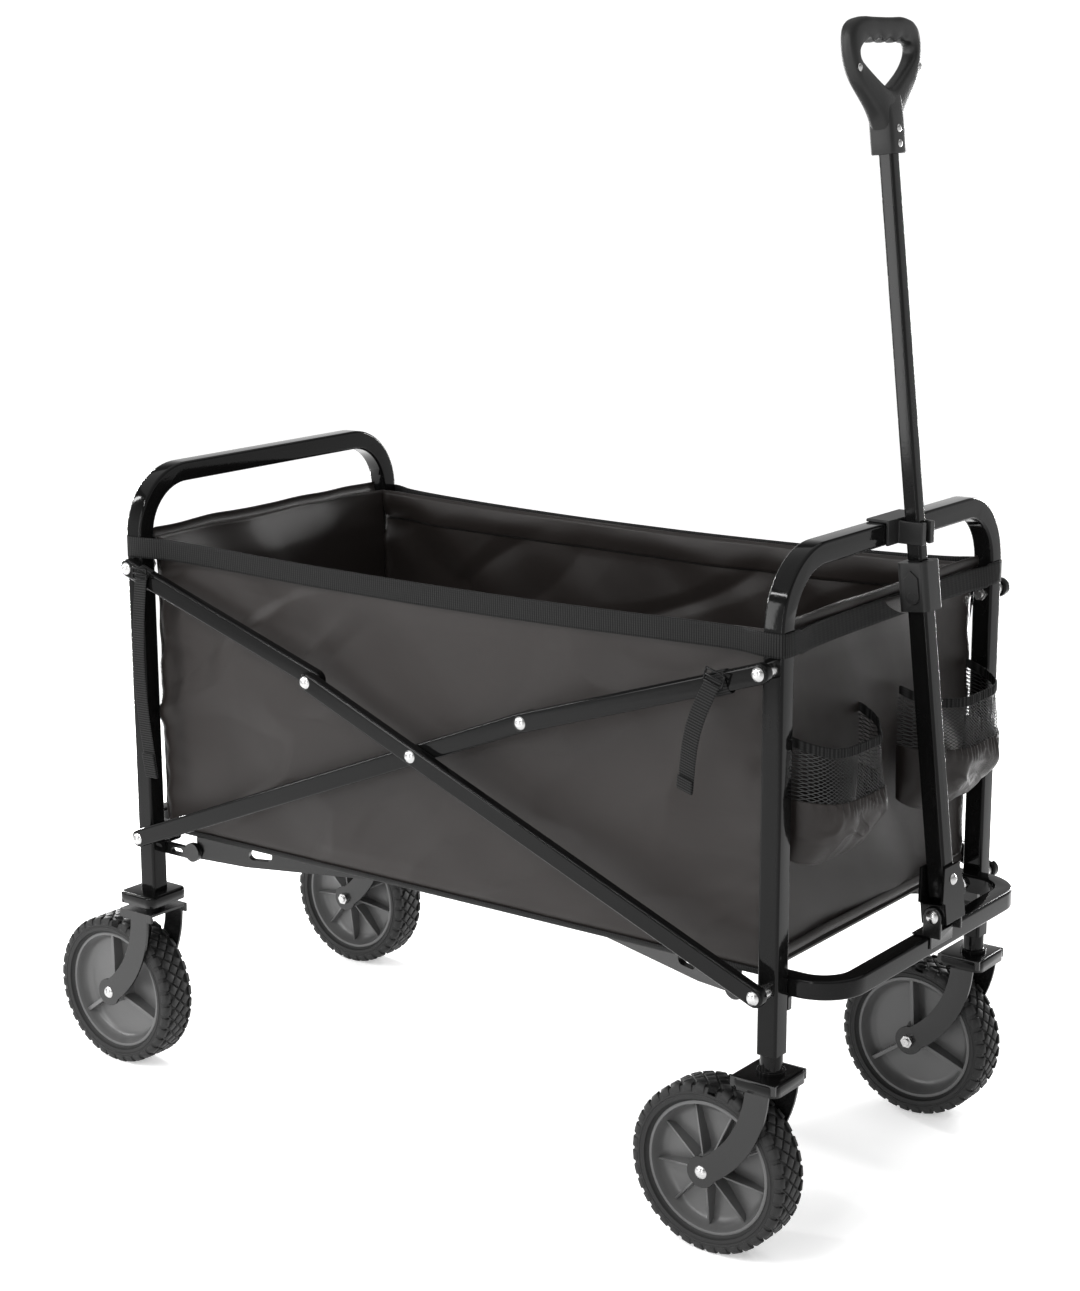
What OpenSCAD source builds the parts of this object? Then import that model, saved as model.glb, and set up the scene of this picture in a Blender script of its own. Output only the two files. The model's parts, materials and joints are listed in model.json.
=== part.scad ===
// Collapsible utility wagon: two tube hoops joined by crossing side bars, a sewn tub, four wheels
// and a telescoping pull handle. +X points to the handle, +Z up, and the floor is at z = 0.

/* [Hoops] */
// Distance between the front and rear posts, centre to centre
post_spacing = 826; // [760:2:1000]
// Distance between the left and right posts, centre to centre
hoop_width = 416; // [360:2:520]
// Height of the top of the end rails above the floor
hoop_height = 703; // [680:1:820]
// Side of the square hoop tube
tube = 22; // [20:0.5:26]
// Wall of the steel tubes
tube_wall = 1.5; // [1.2:0.1:2]
// Bend radius of the hoop corners, at the tube's centre
hoop_bend = 65; // [50:1:80]
// Height of the lower end of the posts
post_foot = 216; // [210:1:230]

/* [Side bars] */
// Height of the upper pivots on the posts
top_pin = 594; // [560:1:640]
// Height of the lower pivots on the posts
bottom_pin = 282; // [275:1:300]
// Height at which the crossing bars are pinned together
cross_height = 449; // [435:1:470]
// Depth of a side bar
bar_h = 20; // [16:0.5:24]
// Thickness of a side bar
bar_t = 12; // [10:0.5:14]
// Diameter of the pivot bolts
pin_d = 8; // [6:0.5:9]

/* [Bumper bars] */
// Side of the square bumper tube
bumper_tube = 20; // [16:0.5:22]
// Reach of the front bumper ahead of the front posts
bumper_front = 57; // [54:1:75]
// Reach of the rear bumper behind the rear posts
bumper_rear = 46; // [44:1:70]
// Bend radius of the bumper corners
bumper_bend = 40; // [30:1:42]

/* [Wheels] */
// Diameter of the tyres
wheel_d = 175; // [150:1:180]
// Width of the tyres
wheel_w = 45; // [38:0.5:50]
// Diameter of the rims
rim_d = 138; // [110:1:142]
// Distance of the front axles behind their swivels
front_trail = 60; // [45:1:64]
// Distance of the rear axles behind the rear posts
rear_trail = 53; // [45:1:64]
// Height of the top of the forks
fork_top = 196; // [192:1:205]
// Thickness of the fork plate
fork_t = 3; // [2.5:0.1:4]
// Diameter of the axle bolts
axle_d = 8; // [6:0.5:10]

/* [Handle] */
// Distance of the pitch bolt ahead of the front posts
pivot_reach = 69; // [66:1:80]
// Height of the pitch bolt
pivot_height = 314; // [312:1:330]
// Backward lean of the parked handle, in degrees
lean = 6.5; // [5:0.1:8]
// Side of the outer handle tube
outer_tube = 20.5; // [19:0.5:22]
// Side of the inner handle tube
inner_tube = 15.5; // [14:0.5:16]
// Distance from the pitch bolt to the middle of the collar
collar_at = 328; // [320:1:336]
// Height of the collar
collar_h = 48; // [40:1:52]
// Distance from the pitch bolt to the foot of the grip
grip_at = 741; // [700:1:800]
// Outside width of the grip
grip_w = 132; // [120:1:160]
// Outside height of the grip
grip_h = 126; // [110:1:140]
// Travel of the telescoping tube
telescope = 235; // [180:5:250]

/* [Tub] */
// Height of the top edge of the fabric tub
tub_top = 625; // [600:1:660]
// Height of the lower edge of the end walls
tub_bottom = 300; // [296:1:312]
// Thickness of the tub fabric
cloth_t = 2; // [1.5:0.1:3]
// Height of the webbing round the rim
webbing_h = 23; // [18:1:30]
// Width of one mesh pocket
pocket_w = 150; // [120:1:165]
// Height of one mesh pocket
pocket_h = 122; // [100:1:140]
// Depth of one mesh pocket
pocket_d = 35; // [25:1:35]
// Distance from the middle of the front wall to each pocket
pocket_apart = 38; // [24:1:44]
// Distance of the front straps from their link's pin
front_strap_at = 44; // [30:1:60]
// Length of a front strap's hanging tail
front_tail = 118; // [60:1:160]
// Lean of a front strap's tail towards the rear, in degrees
tail_lean = 16; // [0:1:30]
// Distance of the rear straps from their link's pin
rear_strap_at = 24; // [22:1:60]
// Length of a rear strap's hanging tail
rear_tail = 245; // [60:1:260]

/* [Floor] */
// Height of the leg hinges
leg_hinge = 266; // [262:1:268]
// Distance of the leg hinges inboard of the posts
leg_inset = 50; // [48:1:60]
// Depth of a floor leg
leg_h = 25; // [20:1:26]
// Thickness of a floor leg and of its hub
leg_t = 12; // [8:1:12]
// Thickness of a floor board
board_t = 4; // [3:0.5:5]
// Width of the floor boards
board_w = 350; // [300:2:352]
// Distance that the front board runs past the middle
board_lap = 60; // [50:1:70]

/* [Fits] */
// Radial clearance of a running fit
run = 0.05; // [0.02:0.01:0.1]
// Gap between bodies that pass each other
gap = 0.3; // [0.2:0.05:0.5]
// Gap between the layers of side bars
layer_gap = 0.5; // [0.4:0.05:1]

/* [Hidden] */
$fn = 48;

metal = [0.12, 0.12, 0.12];
plastic = [0.2, 0.2, 0.2];
cloth = [0.3, 0.28, 0.28];
zinc = [0.75, 0.75, 0.75];

// The origin is under the middle of the overall box, so the front posts sit at x_front.
// The yoke's front plate reaches furthest forward, and the rear tyres furthest back.
yoke_gap = outer_tube/2 + 0.8;
yoke_t = 3;
yoke_w = 19.5;
yoke_low = 8;
rear_reach = rear_trail + wheel_d/2;
front_reach = pivot_reach + (yoke_gap + yoke_t)*cos(lean) + yoke_low*sin(lean);
x_front = (post_spacing + rear_reach - front_reach)/2;
x_rear = x_front - post_spacing;
post_y = hoop_width/2;

// Side linkage, from the pin places.
bar_run = post_spacing/2;
bar_lift = cross_height - bottom_pin;
lower_arm = norm([bar_run, bar_lift]);
bar_angle = atan2(bar_lift, bar_run);
pin_rise = top_pin - bottom_pin;
upper_arm = pin_rise*lower_arm/(2*lower_arm*(1 + sin(bar_angle)) - pin_rise);
bar_length = lower_arm + upper_arm;
joint_run = post_spacing - bar_length*cos(bar_angle);
joint_drop = pin_rise - bar_length*sin(bar_angle);
link_length = norm([joint_run, joint_drop]);
link_angle = atan2(joint_drop, joint_run);

// Distances outward from the posts' centre plane to the two layers of bars.
layer_1 = tube/2 + layer_gap;
layer_2 = layer_1 + bar_t + layer_gap;
head_h = 3.5;
head_r = 7;
nut_h = 5;

bumper_y = post_y - tube/2 - bumper_tube/2;
bumper_tail = 15;

axle_z = wheel_d/2;
fork_gap = wheel_w/2 + 3.5;
hub_w = 2*fork_gap - 2;
arm_w = 26;
arm_bulge = 120;
swivel_r = 6;

bracket_t = 6;
bracket_y = post_y - tube/2 - bracket_t;
leg_under = 8;
leg_y = bracket_y - gap - leg_t;
leg_reach = bar_run - leg_inset;
leg_length = leg_reach - 44;
board_z = leg_hinge - leg_under + leg_h + cloth_t + 1;
board_gap = 8;

rail_z = hoop_height - tube/2;
ear_r = 10;
saddle_in = yoke_w + gap + 0.2;
sway_at = 34;
collar_w = 32;
button_r = 7.5;
socket_h = 34;
grip_socket = 20;
latch_up = 8;
grip_t = 17;

// ---- shared shapes ----

module rounded(w, h, r) {
  square([w - 2*r, h], center = true);
  square([w, h - 2*r], center = true);
  for (i = [-1, 1], j = [-1, 1])
    translate([i*(w/2 - r), j*(h/2 - r)]) circle(r);
}

// An outline with round ends of radius r, `length` between their centres.
module slot(length, r) {
  circle(r);
  translate([0, -r]) square([length, 2*r]);
  translate([length, 0]) circle(r);
}

module tube_section(w, wall = tube_wall) {
  difference() {
    rounded(w, w, 3);
    rounded(w - 2*wall, w - 2*wall, 3 - wall);
  }
}

// Mirrors a right-hand shape to the left when s is 1.
module side(s) {
  mirror([0, s == 1 ? 1 : 0, 0]) children();
}

// Stands at a point on the right posts' plane, with local Z pointing outward (to -Y).
module at_right(x, z) {
  translate([x, -post_y, z]) rotate([90, 0, 0]) children();
}

// Stands at the pitch bolt, with Z along the parked handle.
module on_stem(z = 0) {
  translate([x_front + pivot_reach, 0, pivot_height]) rotate([0, -lean, 0])
    translate([0, 0, z]) children();
}

module dome(r, h) {
  rotate_extrude() intersection() {
    translate([0, h - (r*r + h*h)/(2*h)]) circle((r*r + h*h)/(2*h), $fn = 96);
    square([r, h]);
  }
}

// A bolt along Z: nut below `low`, shank, and a domed head standing on `high`.
module bolt(low, high, d = pin_d, nut = nut_h) {
  translate([0, 0, high]) dome(head_r, head_h);
  translate([0, 0, low - nut - 2]) cylinder(d = d, h = high - low + nut + 2);
  translate([0, 0, low - nut]) cylinder(r = 0.9*d, h = nut, $fn = 6);
}

// ---- hoops and bumpers ----

module hoop(x, low_hole) {
  leg_top = rail_z - hoop_bend;
  difference() {
    union() {
      for (s = [-1, 1]) {
        translate([x, s*post_y, post_foot])
          linear_extrude(leg_top - post_foot) tube_section(tube);
        scale([1, s, 1]) translate([x, post_y - hoop_bend, leg_top]) rotate([90, 0, 90])
          rotate_extrude(angle = 90) translate([hoop_bend, 0]) tube_section(tube);
      }
      translate([x, 0, rail_z]) rotate([90, 0, 0])
        linear_extrude(2*(post_y - hoop_bend), center = true) tube_section(tube);
    }
    for (s = [-1, 1], z = [top_pin, bottom_pin])
      translate([x, s*post_y, z]) rotate([90, 0, 0])
        cylinder(r = pin_d/2 + run, h = tube + 2, center = true);
  }
}

module bumper(reach) {
  arm = reach - bumper_bend;
  difference() {
    union() {
      for (s = [-1, 1]) {
        translate([-bumper_tail, s*bumper_y, 0]) rotate([90, 0, 90])
          linear_extrude(bumper_tail + arm) tube_section(bumper_tube);
        scale([1, s, 1]) translate([arm, bumper_y - bumper_bend, 0])
          rotate_extrude(angle = 90) translate([bumper_bend, 0]) tube_section(bumper_tube);
      }
      translate([reach, 0, 0]) rotate([90, 0, 0])
        linear_extrude(2*(bumper_y - bumper_bend), center = true) tube_section(bumper_tube);
    }
    for (s = [-1, 1]) translate([0, s*bumper_y, 0]) rotate([90, 0, 0])
      cylinder(r = pin_d/2 + run, h = bumper_tube + 2, center = true);
  }
}

module front_hoop() { color(metal) hoop(x_front); }
module rear_hoop() { color(metal) hoop(x_rear); }

module front_bumper() {
  color(metal) translate([x_front, 0, bottom_pin]) bumper(bumper_front);
}

module rear_bumper() {
  color(metal) translate([x_rear, 0, bottom_pin]) mirror([1, 0, 0]) bumper(bumper_rear);
}

// ---- side bars, links and their fasteners ----

// A flat-sided tube with round ends along X, standing on z = 0, with holes at the given places.
module bar(length, holes) {
  difference() {
    slot_block(length, bar_h/2, bar_t, 3);
    translate([0, 0, tube_wall])
      slot_block(length, bar_h/2 - tube_wall, bar_t - 2*tube_wall, 1.5);
    for (at = holes) translate([at, 0, -1]) cylinder(r = pin_d/2 + run, h = bar_t + 2);
  }
}

// A slot-shaped block along X with rounded edges of radius e.
module slot_block(length, r, t, e) {
  rotate([90, 0, 90]) linear_extrude(length) translate([0, t/2]) rounded(2*r, t, e);
  for (at = [0, length]) translate([at, 0, t/2]) rotate_extrude() intersection() {
    rounded(2*r, t, e);
    translate([0, -t]) square([r + 1, 2*t]);
  }
}

module bar_a() {
  at_right(x_front, bottom_pin) translate([0, 0, layer_2]) rotate([0, 0, 180 - bar_angle])
    bar(bar_length, [0, lower_arm, bar_length]);
}

module bar_b() {
  at_right(x_rear, bottom_pin) translate([0, 0, layer_1]) rotate([0, 0, bar_angle])
    bar(bar_length, [0, lower_arm]);
}

module link_front() {
  at_right(x_front, top_pin) translate([0, 0, layer_2]) rotate([0, 0, 180 + link_angle])
    bar(link_length, [0, link_length]);
}

module link_rear() {
  at_right(x_rear, top_pin) translate([0, 0, layer_1]) rotate([0, 0, -link_angle])
    bar(link_length, [0]);
}

// Rivet through both bars at the crossing, and a short one at bar A's upper end.
module bar_rivets() {
  at_right(x_front - bar_run, cross_height) {
    translate([0, 0, layer_2 + bar_t]) dome(head_r, head_h);
    translate([0, 0, layer_1 - gap]) cylinder(d = pin_d, h = layer_2 + bar_t - layer_1 + gap);
    translate([0, 0, layer_1 - gap - 2]) cylinder(r = head_r, h = 2);
  }
  at_right(x_rear + joint_run, top_pin - joint_drop) end_rivet();
}

module end_rivet() {
  translate([0, 0, layer_2 + bar_t]) dome(head_r, head_h);
  translate([0, 0, layer_2]) cylinder(d = pin_d, h = bar_t);
}

module link_rivet() {
  at_right(x_front - joint_run, top_pin - joint_drop) end_rivet();
}

module bar_a_right() { color(metal) bar_a(); }
module bar_a_left() { color(metal) side(1) bar_a(); }
module bar_b_right() { color(metal) bar_b(); }
module bar_b_left() { color(metal) side(1) bar_b(); }
module link_front_right() { color(metal) link_front(); }
module link_front_left() { color(metal) side(1) link_front(); }
module link_rear_right() { color(metal) link_rear(); }
module link_rear_left() { color(metal) side(1) link_rear(); }
module bar_rivets_right() { color(zinc) bar_rivets(); }
module bar_rivets_left() { color(zinc) side(1) bar_rivets(); }
module link_rivet_right() { color(zinc) link_rivet(); }
module link_rivet_left() { color(zinc) side(1) link_rivet(); }

// Bolts through the posts; the lower ones also clamp the bumper's arms.
module post_bolts(x, outer) {
  at_right(x, top_pin) bolt(-tube/2, outer);
  at_right(x, bottom_pin) bolt(-tube/2 - bumper_tube, outer);
}

module front_pivot_bolts() {
  color(zinc) for (s = [0, 1]) side(s) {
    post_bolts(x_front, layer_2 + bar_t + gap);
    for (z = [top_pin, bottom_pin]) at_right(x_front, z) translate([0, 0, tube/2]) difference() {
      cylinder(r = head_r, h = layer_2 - tube/2 - gap);
      translate([0, 0, -1]) cylinder(r = pin_d/2 + run, h = layer_2 + 2);
    }
  }
}

module rear_pivot_bolts() {
  color(zinc) for (s = [0, 1]) side(s) post_bolts(x_rear, layer_1 + bar_t + gap);
}

// ---- wheels and forks ----

module wheel_tyre(x, s) {
  side_r = rim_d/2;
  depth = axle_z - side_r;
  translate([x, s*post_y, axle_z]) rotate([90, 0, 0]) rotate_extrude($fn = 96)
    translate([side_r, -wheel_w/2]) polygon([
      [0, 5], [6, 0], [depth - 6, 0], [depth, 7],
      [depth, wheel_w - 7], [depth - 6, wheel_w], [6, wheel_w], [0, wheel_w - 5]
    ]);
}

// One rim: outer ring, web, hub, three deep ribs on one face and nine shallow ones on the other.
module wheel_rim(x, s, deep) {
  ring_w = wheel_w - 10;
  ring_t = 7;
  hub_r = 15;
  web_t = 4;
  translate([x, s*post_y, axle_z]) rotate([90*deep, 0, 0]) difference() {
    union() {
      difference() {
        cylinder(d = rim_d, h = ring_w, center = true, $fn = 96);
        cylinder(d = rim_d - 2*ring_t, h = ring_w + 2, center = true, $fn = 96);
      }
      cylinder(d = rim_d - ring_t, h = web_t, center = true);
      cylinder(r = hub_r, h = hub_w, center = true);
      for (i = [0:2]) rotate([0, 0, 120*i]) translate([hub_r - 2, -2.5, 0])
        cube([rim_d/2 - hub_r - ring_t + 4, 5, ring_w/2 - 3]);
      for (i = [0:8]) rotate([0, 0, 40*i]) translate([hub_r - 2, -1.2, -ring_w/2 + 5])
        cube([rim_d/2 - hub_r - ring_t + 4, 2.4, ring_w/2 - 5]);
    }
    cylinder(r = axle_d/2 + run, h = hub_w + 2, center = true);
  }
}

// Points on an arc of radius r about c, from angle a to angle b.
function arc(c, r, a, b, n = 12) = [for (i = [0:n]) c + r*[cos(a + (b - a)*i/n), sin(a + (b - a)*i/n)]];

// A fork: square top plate, and two curved arms that trail back to the axle.
module fork(x, s, trail) {
  start = [2, fork_top - fork_t];
  end = [-trail, axle_z];
  eye_r = 16;
  plate_l = 50;
  plate_back = 28;
  skirt = 10;
  chord = end - start;
  middle = (start + end)/2;
  toward = [chord[1], -chord[0]]/norm(chord);
  centre = middle + toward*sqrt(pow(arm_bulge, 2) - pow(norm(chord)/2, 2));
  a0 = atan2(start[1] - centre[1], start[0] - centre[0]);
  a1 = atan2(end[1] - centre[1], end[0] - centre[0]);
  translate([x, s*post_y, 0]) difference() {
    union() {
      translate([plate_l/2 - plate_back, 0, fork_top - fork_t]) linear_extrude(fork_t)
        rounded(plate_l, 2*(fork_gap + fork_t), 6);
      for (j = [-1, 1]) translate([0, j*(fork_gap + fork_t/2), 0]) rotate([90, 0, 0])
        linear_extrude(fork_t, center = true) {
          polygon(concat(arc(centre, arm_bulge + arm_w/2, a0, a1),
                         arc(centre, arm_bulge - arm_w/2, a1, a0)));
          translate(end) circle(eye_r);
          translate([-plate_back, fork_top - skirt]) square([plate_l, skirt]);
        }
    }
    translate([0, 0, fork_top - fork_t - 1]) cylinder(r = swivel_r + run, h = fork_t + 2);
    translate([end[0], 0, end[1]]) rotate([90, 0, 0])
      cylinder(r = axle_d/2 + run, h = 2*fork_gap + 20, center = true);
  }
}

module axle(x, s) {
  side(s) translate([x, -post_y, axle_z]) rotate([90, 0, 0])
    bolt(-fork_gap - fork_t, fork_gap + fork_t, axle_d, 5);
}

module swivel_collar(x, s) {
  flare = 4;
  translate([x, s*post_y, 0]) {
    translate([0, 0, fork_top + gap]) cylinder(r = tube/2 + 3, h = flare);
    translate([0, 0, fork_top + gap]) cylinder(r = tube/2, h = post_foot - fork_top - gap);
    translate([0, 0, fork_top - fork_t - 8]) cylinder(r = swivel_r, h = fork_t + 9);
    translate([0, 0, fork_top - fork_t - 8]) cylinder(r = 10, h = 8 - gap, $fn = 6);
  }
}

front_axle_x = x_front - front_trail;
rear_axle_x = x_rear - rear_trail;

module front_swivel_collars() { color(zinc) for (s = [-1, 1]) swivel_collar(x_front, s); }
module front_fork_right() { color(metal) fork(x_front, -1, front_trail); }
module front_fork_left() { color(metal) fork(x_front, 1, front_trail); }
module front_axle_right() { color(zinc) axle(front_axle_x, -1); }
module front_axle_left() { color(zinc) axle(front_axle_x, 1); }
module rear_axle_bolts() { color(zinc) for (s = [-1, 1]) axle(rear_axle_x, s); }
module tyre_front_right() { color(plastic) wheel_tyre(front_axle_x, -1); }
module tyre_front_left() { color(plastic) wheel_tyre(front_axle_x, 1); }
module tyre_rear_right() { color(plastic) wheel_tyre(rear_axle_x, -1); }
module tyre_rear_left() { color(plastic) wheel_tyre(rear_axle_x, 1); }
module rim_front_right() { color("dimgray") wheel_rim(front_axle_x, -1, -1); }
module rim_front_left() { color("dimgray") wheel_rim(front_axle_x, 1, 1); }
module rim_rear_right() { color("dimgray") wheel_rim(rear_axle_x, -1, 1); }
module rim_rear_left() { color("dimgray") wheel_rim(rear_axle_x, 1, -1); }

// The rear forks carry a stub that the post stands on.
module rear_fork(s) {
  fork(x_rear, s, rear_trail);
  translate([x_rear, s*post_y, 0]) {
    translate([0, 0, fork_top]) cylinder(r = tube/2, h = post_foot - fork_top);
    translate([0, 0, fork_top - fork_t - 6]) cylinder(r = 9, h = 6 + fork_t + 1);
  }
}

module rear_fork_right() { color(metal) rear_fork(-1); }
module rear_fork_left() { color(metal) rear_fork(1); }

// ---- floor ----

// A plate inside each post with a slot and the stud that the leg swings on.
module bracket() {
  low = leg_hinge - leg_under;
  high = bottom_pin - bumper_tube/2 - 1;
  stud = leg_t + 2*gap;
  translate([0, -bracket_y, 0]) {
    rotate([90, 0, 0]) linear_extrude(bracket_t) difference() {
      union() {
        translate([-leg_inset, low]) square([leg_inset + tube/2, high - low]);
        translate([-leg_inset, leg_hinge]) circle(leg_under + 3);
      }
      translate([-leg_inset/2 - 8, (low + high)/2]) slot(12, 3);
    }
    translate([-leg_inset, stud, leg_hinge]) rotate([90, 0, 0]) {
      cylinder(d = 6, h = stud + 1);
      translate([0, 0, -2]) cylinder(r = 6, h = 2);
    }
  }
}

// Two legs, each an eye and a slotted arm, joined by a hub bar near the middle. The arms are
// thinner than the eyes, so that they clear the studs' heads.
module floor_legs() {
  low = leg_hinge - leg_under;
  hub_y = 70;
  arm_set = 4;
  swing = atan2(leg_y - hub_y, leg_length - leg_t/2);
  span = norm([leg_y - hub_y, leg_length - leg_t/2]);
  for (s = [0, 1]) side(s) difference() {
    union() {
      translate([0, -leg_y, leg_hinge]) rotate([90, 0, 0]) cylinder(r = leg_under, h = leg_t);
      translate([0, -leg_y - arm_set, low]) rotate([0, 0, 180 - swing])
        mirror([0, 1, 0]) arm_plate(span, leg_t - arm_set);
    }
    translate([0, -leg_y - leg_t - 1, leg_hinge]) rotate([-90, 0, 0])
      cylinder(r = 3 + run, h = leg_t + 2);
  }
  translate([-leg_length, -hub_y - leg_t, low]) cube([leg_t, 2*(hub_y + leg_t), leg_h]);
}

// An arm in local XZ: a deep plate with an oblong hole.
module arm_plate(span, thick) {
  belly = 5;
  rotate([90, 0, 0]) linear_extrude(thick) difference() {
    polygon([[0, 0], [60, -belly], [span - 120, -belly], [span, 0], [span, leg_h], [0, leg_h]]);
    translate([70, leg_h/2 - belly/2]) slot(16, 6);
  }
}

module board(from, to) {
  translate([-to, -board_w/2, board_z]) cube([to - from, board_w, board_t]);
}

board_edge = -leg_inset + 20;

module front_brackets() {
  color(metal) translate([x_front, 0, 0]) for (s = [0, 1]) side(s) bracket();
}
module rear_brackets() {
  color(metal) translate([x_rear, 0, 0]) mirror([1, 0, 0]) for (s = [0, 1]) side(s) bracket();
}
module floor_legs_front() {
  color(metal) translate([x_front - leg_inset, 0, 0]) floor_legs();
}
module floor_legs_rear() {
  color(metal) translate([x_rear + leg_inset, 0, 0]) mirror([1, 0, 0]) floor_legs();
}
module floor_board_front() {
  color(cloth) translate([x_front - leg_inset, 0, 0]) board(board_edge, leg_reach + board_lap);
}
module floor_board_rear() {
  color(cloth) translate([x_rear + leg_inset, 0, 0]) mirror([1, 0, 0])
    board(board_edge, leg_reach - board_lap - board_gap);
}

// ---- tub ----

wall_y = post_y - tube/2 - 1;
side_y = post_y - 8;
side_x0 = x_rear + bumper_tail + 1;
side_x1 = x_front - bumper_tail - 1;
cloth_z = leg_hinge - leg_under + leg_h + 0.5;

module end_wall() {
  translate([-tube/2 - cloth_t, -wall_y, tub_bottom])
    cube([cloth_t, 2*wall_y, tub_top - tub_bottom]);
}

module front_wall() { color(cloth) translate([x_front, 0, 0]) end_wall(); }
module rear_wall() { color(cloth) translate([x_rear, 0, 0]) mirror([1, 0, 0]) end_wall(); }

// Both side walls and the floor cloth, one folded sheet.
module tub_sides() {
  color(cloth) translate([side_x0, 0, 0]) rotate([90, 0, 90])
    linear_extrude(side_x1 - side_x0) difference() {
      translate([-side_y, cloth_z]) square([2*side_y, tub_top - cloth_z]);
      translate([-side_y + cloth_t, cloth_z + cloth_t - 0.5])
        square([2*(side_y - cloth_t), tub_top - cloth_z]);
    }
}

module rim_outline(t) {
  square([post_spacing + tube + 2*(gap + t), 2*(side_y + gap + t)], center = true);
  for (x = [-1, 1]) translate([x*post_spacing/2, 0])
    square([tube + 2*(gap + t), hoop_width + tube + 2*(gap + t)], center = true);
}

// Webbing round the posts, just above the upper bars.
module rim_band() {
  low = max(tub_top - webbing_h + 3, top_pin + bar_h/2 + 2*gap);
  color(metal) translate([(x_front + x_rear)/2, 0, low])
    linear_extrude(webbing_h) difference() {
      rim_outline(cloth_t);
      rim_outline(0);
    }
}

// An open-topped pouch on the front wall.
module pocket(s) {
  y = s*(pocket_w/2 + pocket_apart);
  base = tub_bottom + 90;
  translate([x_front - tube/2 + gap, y, base]) difference() {
    translate([0, -pocket_w/2, 0]) cube([pocket_d + tube/2, pocket_w, pocket_h]);
    translate([cloth_t, cloth_t - pocket_w/2, cloth_t])
      cube([pocket_d + tube/2 - 2*cloth_t, pocket_w - 2*cloth_t, pocket_h]);
  }
}

module pocket_right() { color(cloth) pocket(-1); }
module pocket_left() { color(cloth) pocket(1); }

// A loop round an upper link, `along` from its pin, with a tail that hangs outside it.
module strap(along, layer, tail, turn) {
  strap_w = 18;
  strap_t = 1.5;
  outside = layer + bar_t + gap + strap_t;
  translate([along, 0, layer]) difference() {
    translate([-strap_w/2, -bar_h/2 - gap - strap_t, -gap])
      cube([strap_w, bar_h + 2*(gap + strap_t), bar_t + 2*gap + strap_t]);
    translate([-strap_w/2 - 1, -bar_h/2 - gap, -1])
      cube([strap_w + 2, bar_h + 2*gap, bar_t + 1 + gap]);
  }
  translate([along, 0, outside]) rotate([0, 0, turn]) translate([-strap_w/2, -tail, 0])
    cube([strap_w, tail, strap_t]);
}

module front_straps() {
  color(metal) for (s = [0, 1]) side(s) at_right(x_front, top_pin)
    rotate([0, 0, 180 + link_angle]) mirror([0, 1, 0])
      strap(front_strap_at, layer_2, front_tail, link_angle + tail_lean);
}

module rear_straps() {
  color(metal) for (s = [0, 1]) side(s) at_right(x_rear, top_pin)
    rotate([0, 0, -link_angle]) strap(rear_strap_at, layer_1, rear_tail, link_angle);
}

// ---- handle ----

module handle_saddle() {
  ear_t = 3;
  top = bottom_pin + bumper_tube/2;
  color(metal) translate([x_front, 0, 0]) {
    translate([bumper_front - 10, -saddle_in - ear_t, top]) cube([22, 2*(saddle_in + ear_t), 2]);
    translate([bumper_front + bumper_tube/2, -saddle_in - ear_t, top - 12])
      cube([2, 2*(saddle_in + ear_t), 14]);
    for (s = [-1, 1]) translate([pivot_reach, s*(saddle_in + ear_t/2), pivot_height])
      rotate([90, 0, 0]) linear_extrude(ear_t, center = true) difference() {
        union() {
          circle(ear_r);
          translate([-ear_r, top - pivot_height]) square([2*ear_r, pivot_height - top]);
        }
        circle(4 + run);
      }
  }
}

module handle_pitch_bolt() {
  half = saddle_in + 3;
  color(zinc) translate([x_front + pivot_reach, 0, pivot_height]) rotate([90, 0, 0]) {
    translate([0, 0, half]) dome(head_r, head_h);
    translate([0, 0, -half - 4]) cylinder(d = 8, h = 2*half + 4);
    translate([0, 0, -half - 4]) cylinder(r = 7, h = 4, $fn = 6);
  }
}

// Grips the parked handle on the front rail.
module handle_clip() {
  base_w = 65;
  jaw = inner_tube/2 + 0.5;
  stem_x = pivot_reach - (rail_z - pivot_height)*tan(lean);
  far = stem_x + inner_tube/2 + 2;
  color(plastic) translate([x_front, 0, rail_z]) {
    translate([tube/2, -base_w/2, -tube/2]) cube([3, base_w, tube + 3]);
    translate([-tube/2, -base_w/2, tube/2]) cube([tube + 1, base_w, 3]);
    for (s = [-1, 1]) translate([0, s*(jaw + 2), 0]) {
      translate([tube/2, -2, -tube/2]) cube([far - tube/2 + 4, 4, tube]);
      translate([far, s > 0 ? -6 : -2, -tube/2]) cube([4, 8, tube]);
    }
  }
}

// Front and back plates joined by two cheeks that turn on the pitch bolt.
module yoke() {
  neck = 13;
  shoulder = 24;
  top = sway_at + 14;
  color(metal) on_stem() difference() {
    union() {
      for (i = [-1, 1]) translate([i*(yoke_gap + yoke_t/2), 0, 0]) rotate([90, 0, 90])
        linear_extrude(yoke_t, center = true) {
          polygon([[-yoke_w, -yoke_low], [yoke_w, -yoke_low], [yoke_w, neck], [shoulder, neck + 2],
                   [15, top], [-15, top], [-shoulder, neck + 2], [-yoke_w, neck]]);
        }
      for (j = [-1, 1]) translate([-yoke_gap, j*(yoke_w - yoke_t/2) - yoke_t/2, -yoke_low])
        cube([2*yoke_gap, yoke_t, yoke_low + neck - 1]);
    }
    rotate([90, 0, 0]) cylinder(r = 4 + run, h = 60, center = true);
    translate([0, 0, sway_at]) rotate([0, 90, 0]) cylinder(r = 4 + run, h = 60, center = true);
  }
}

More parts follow.
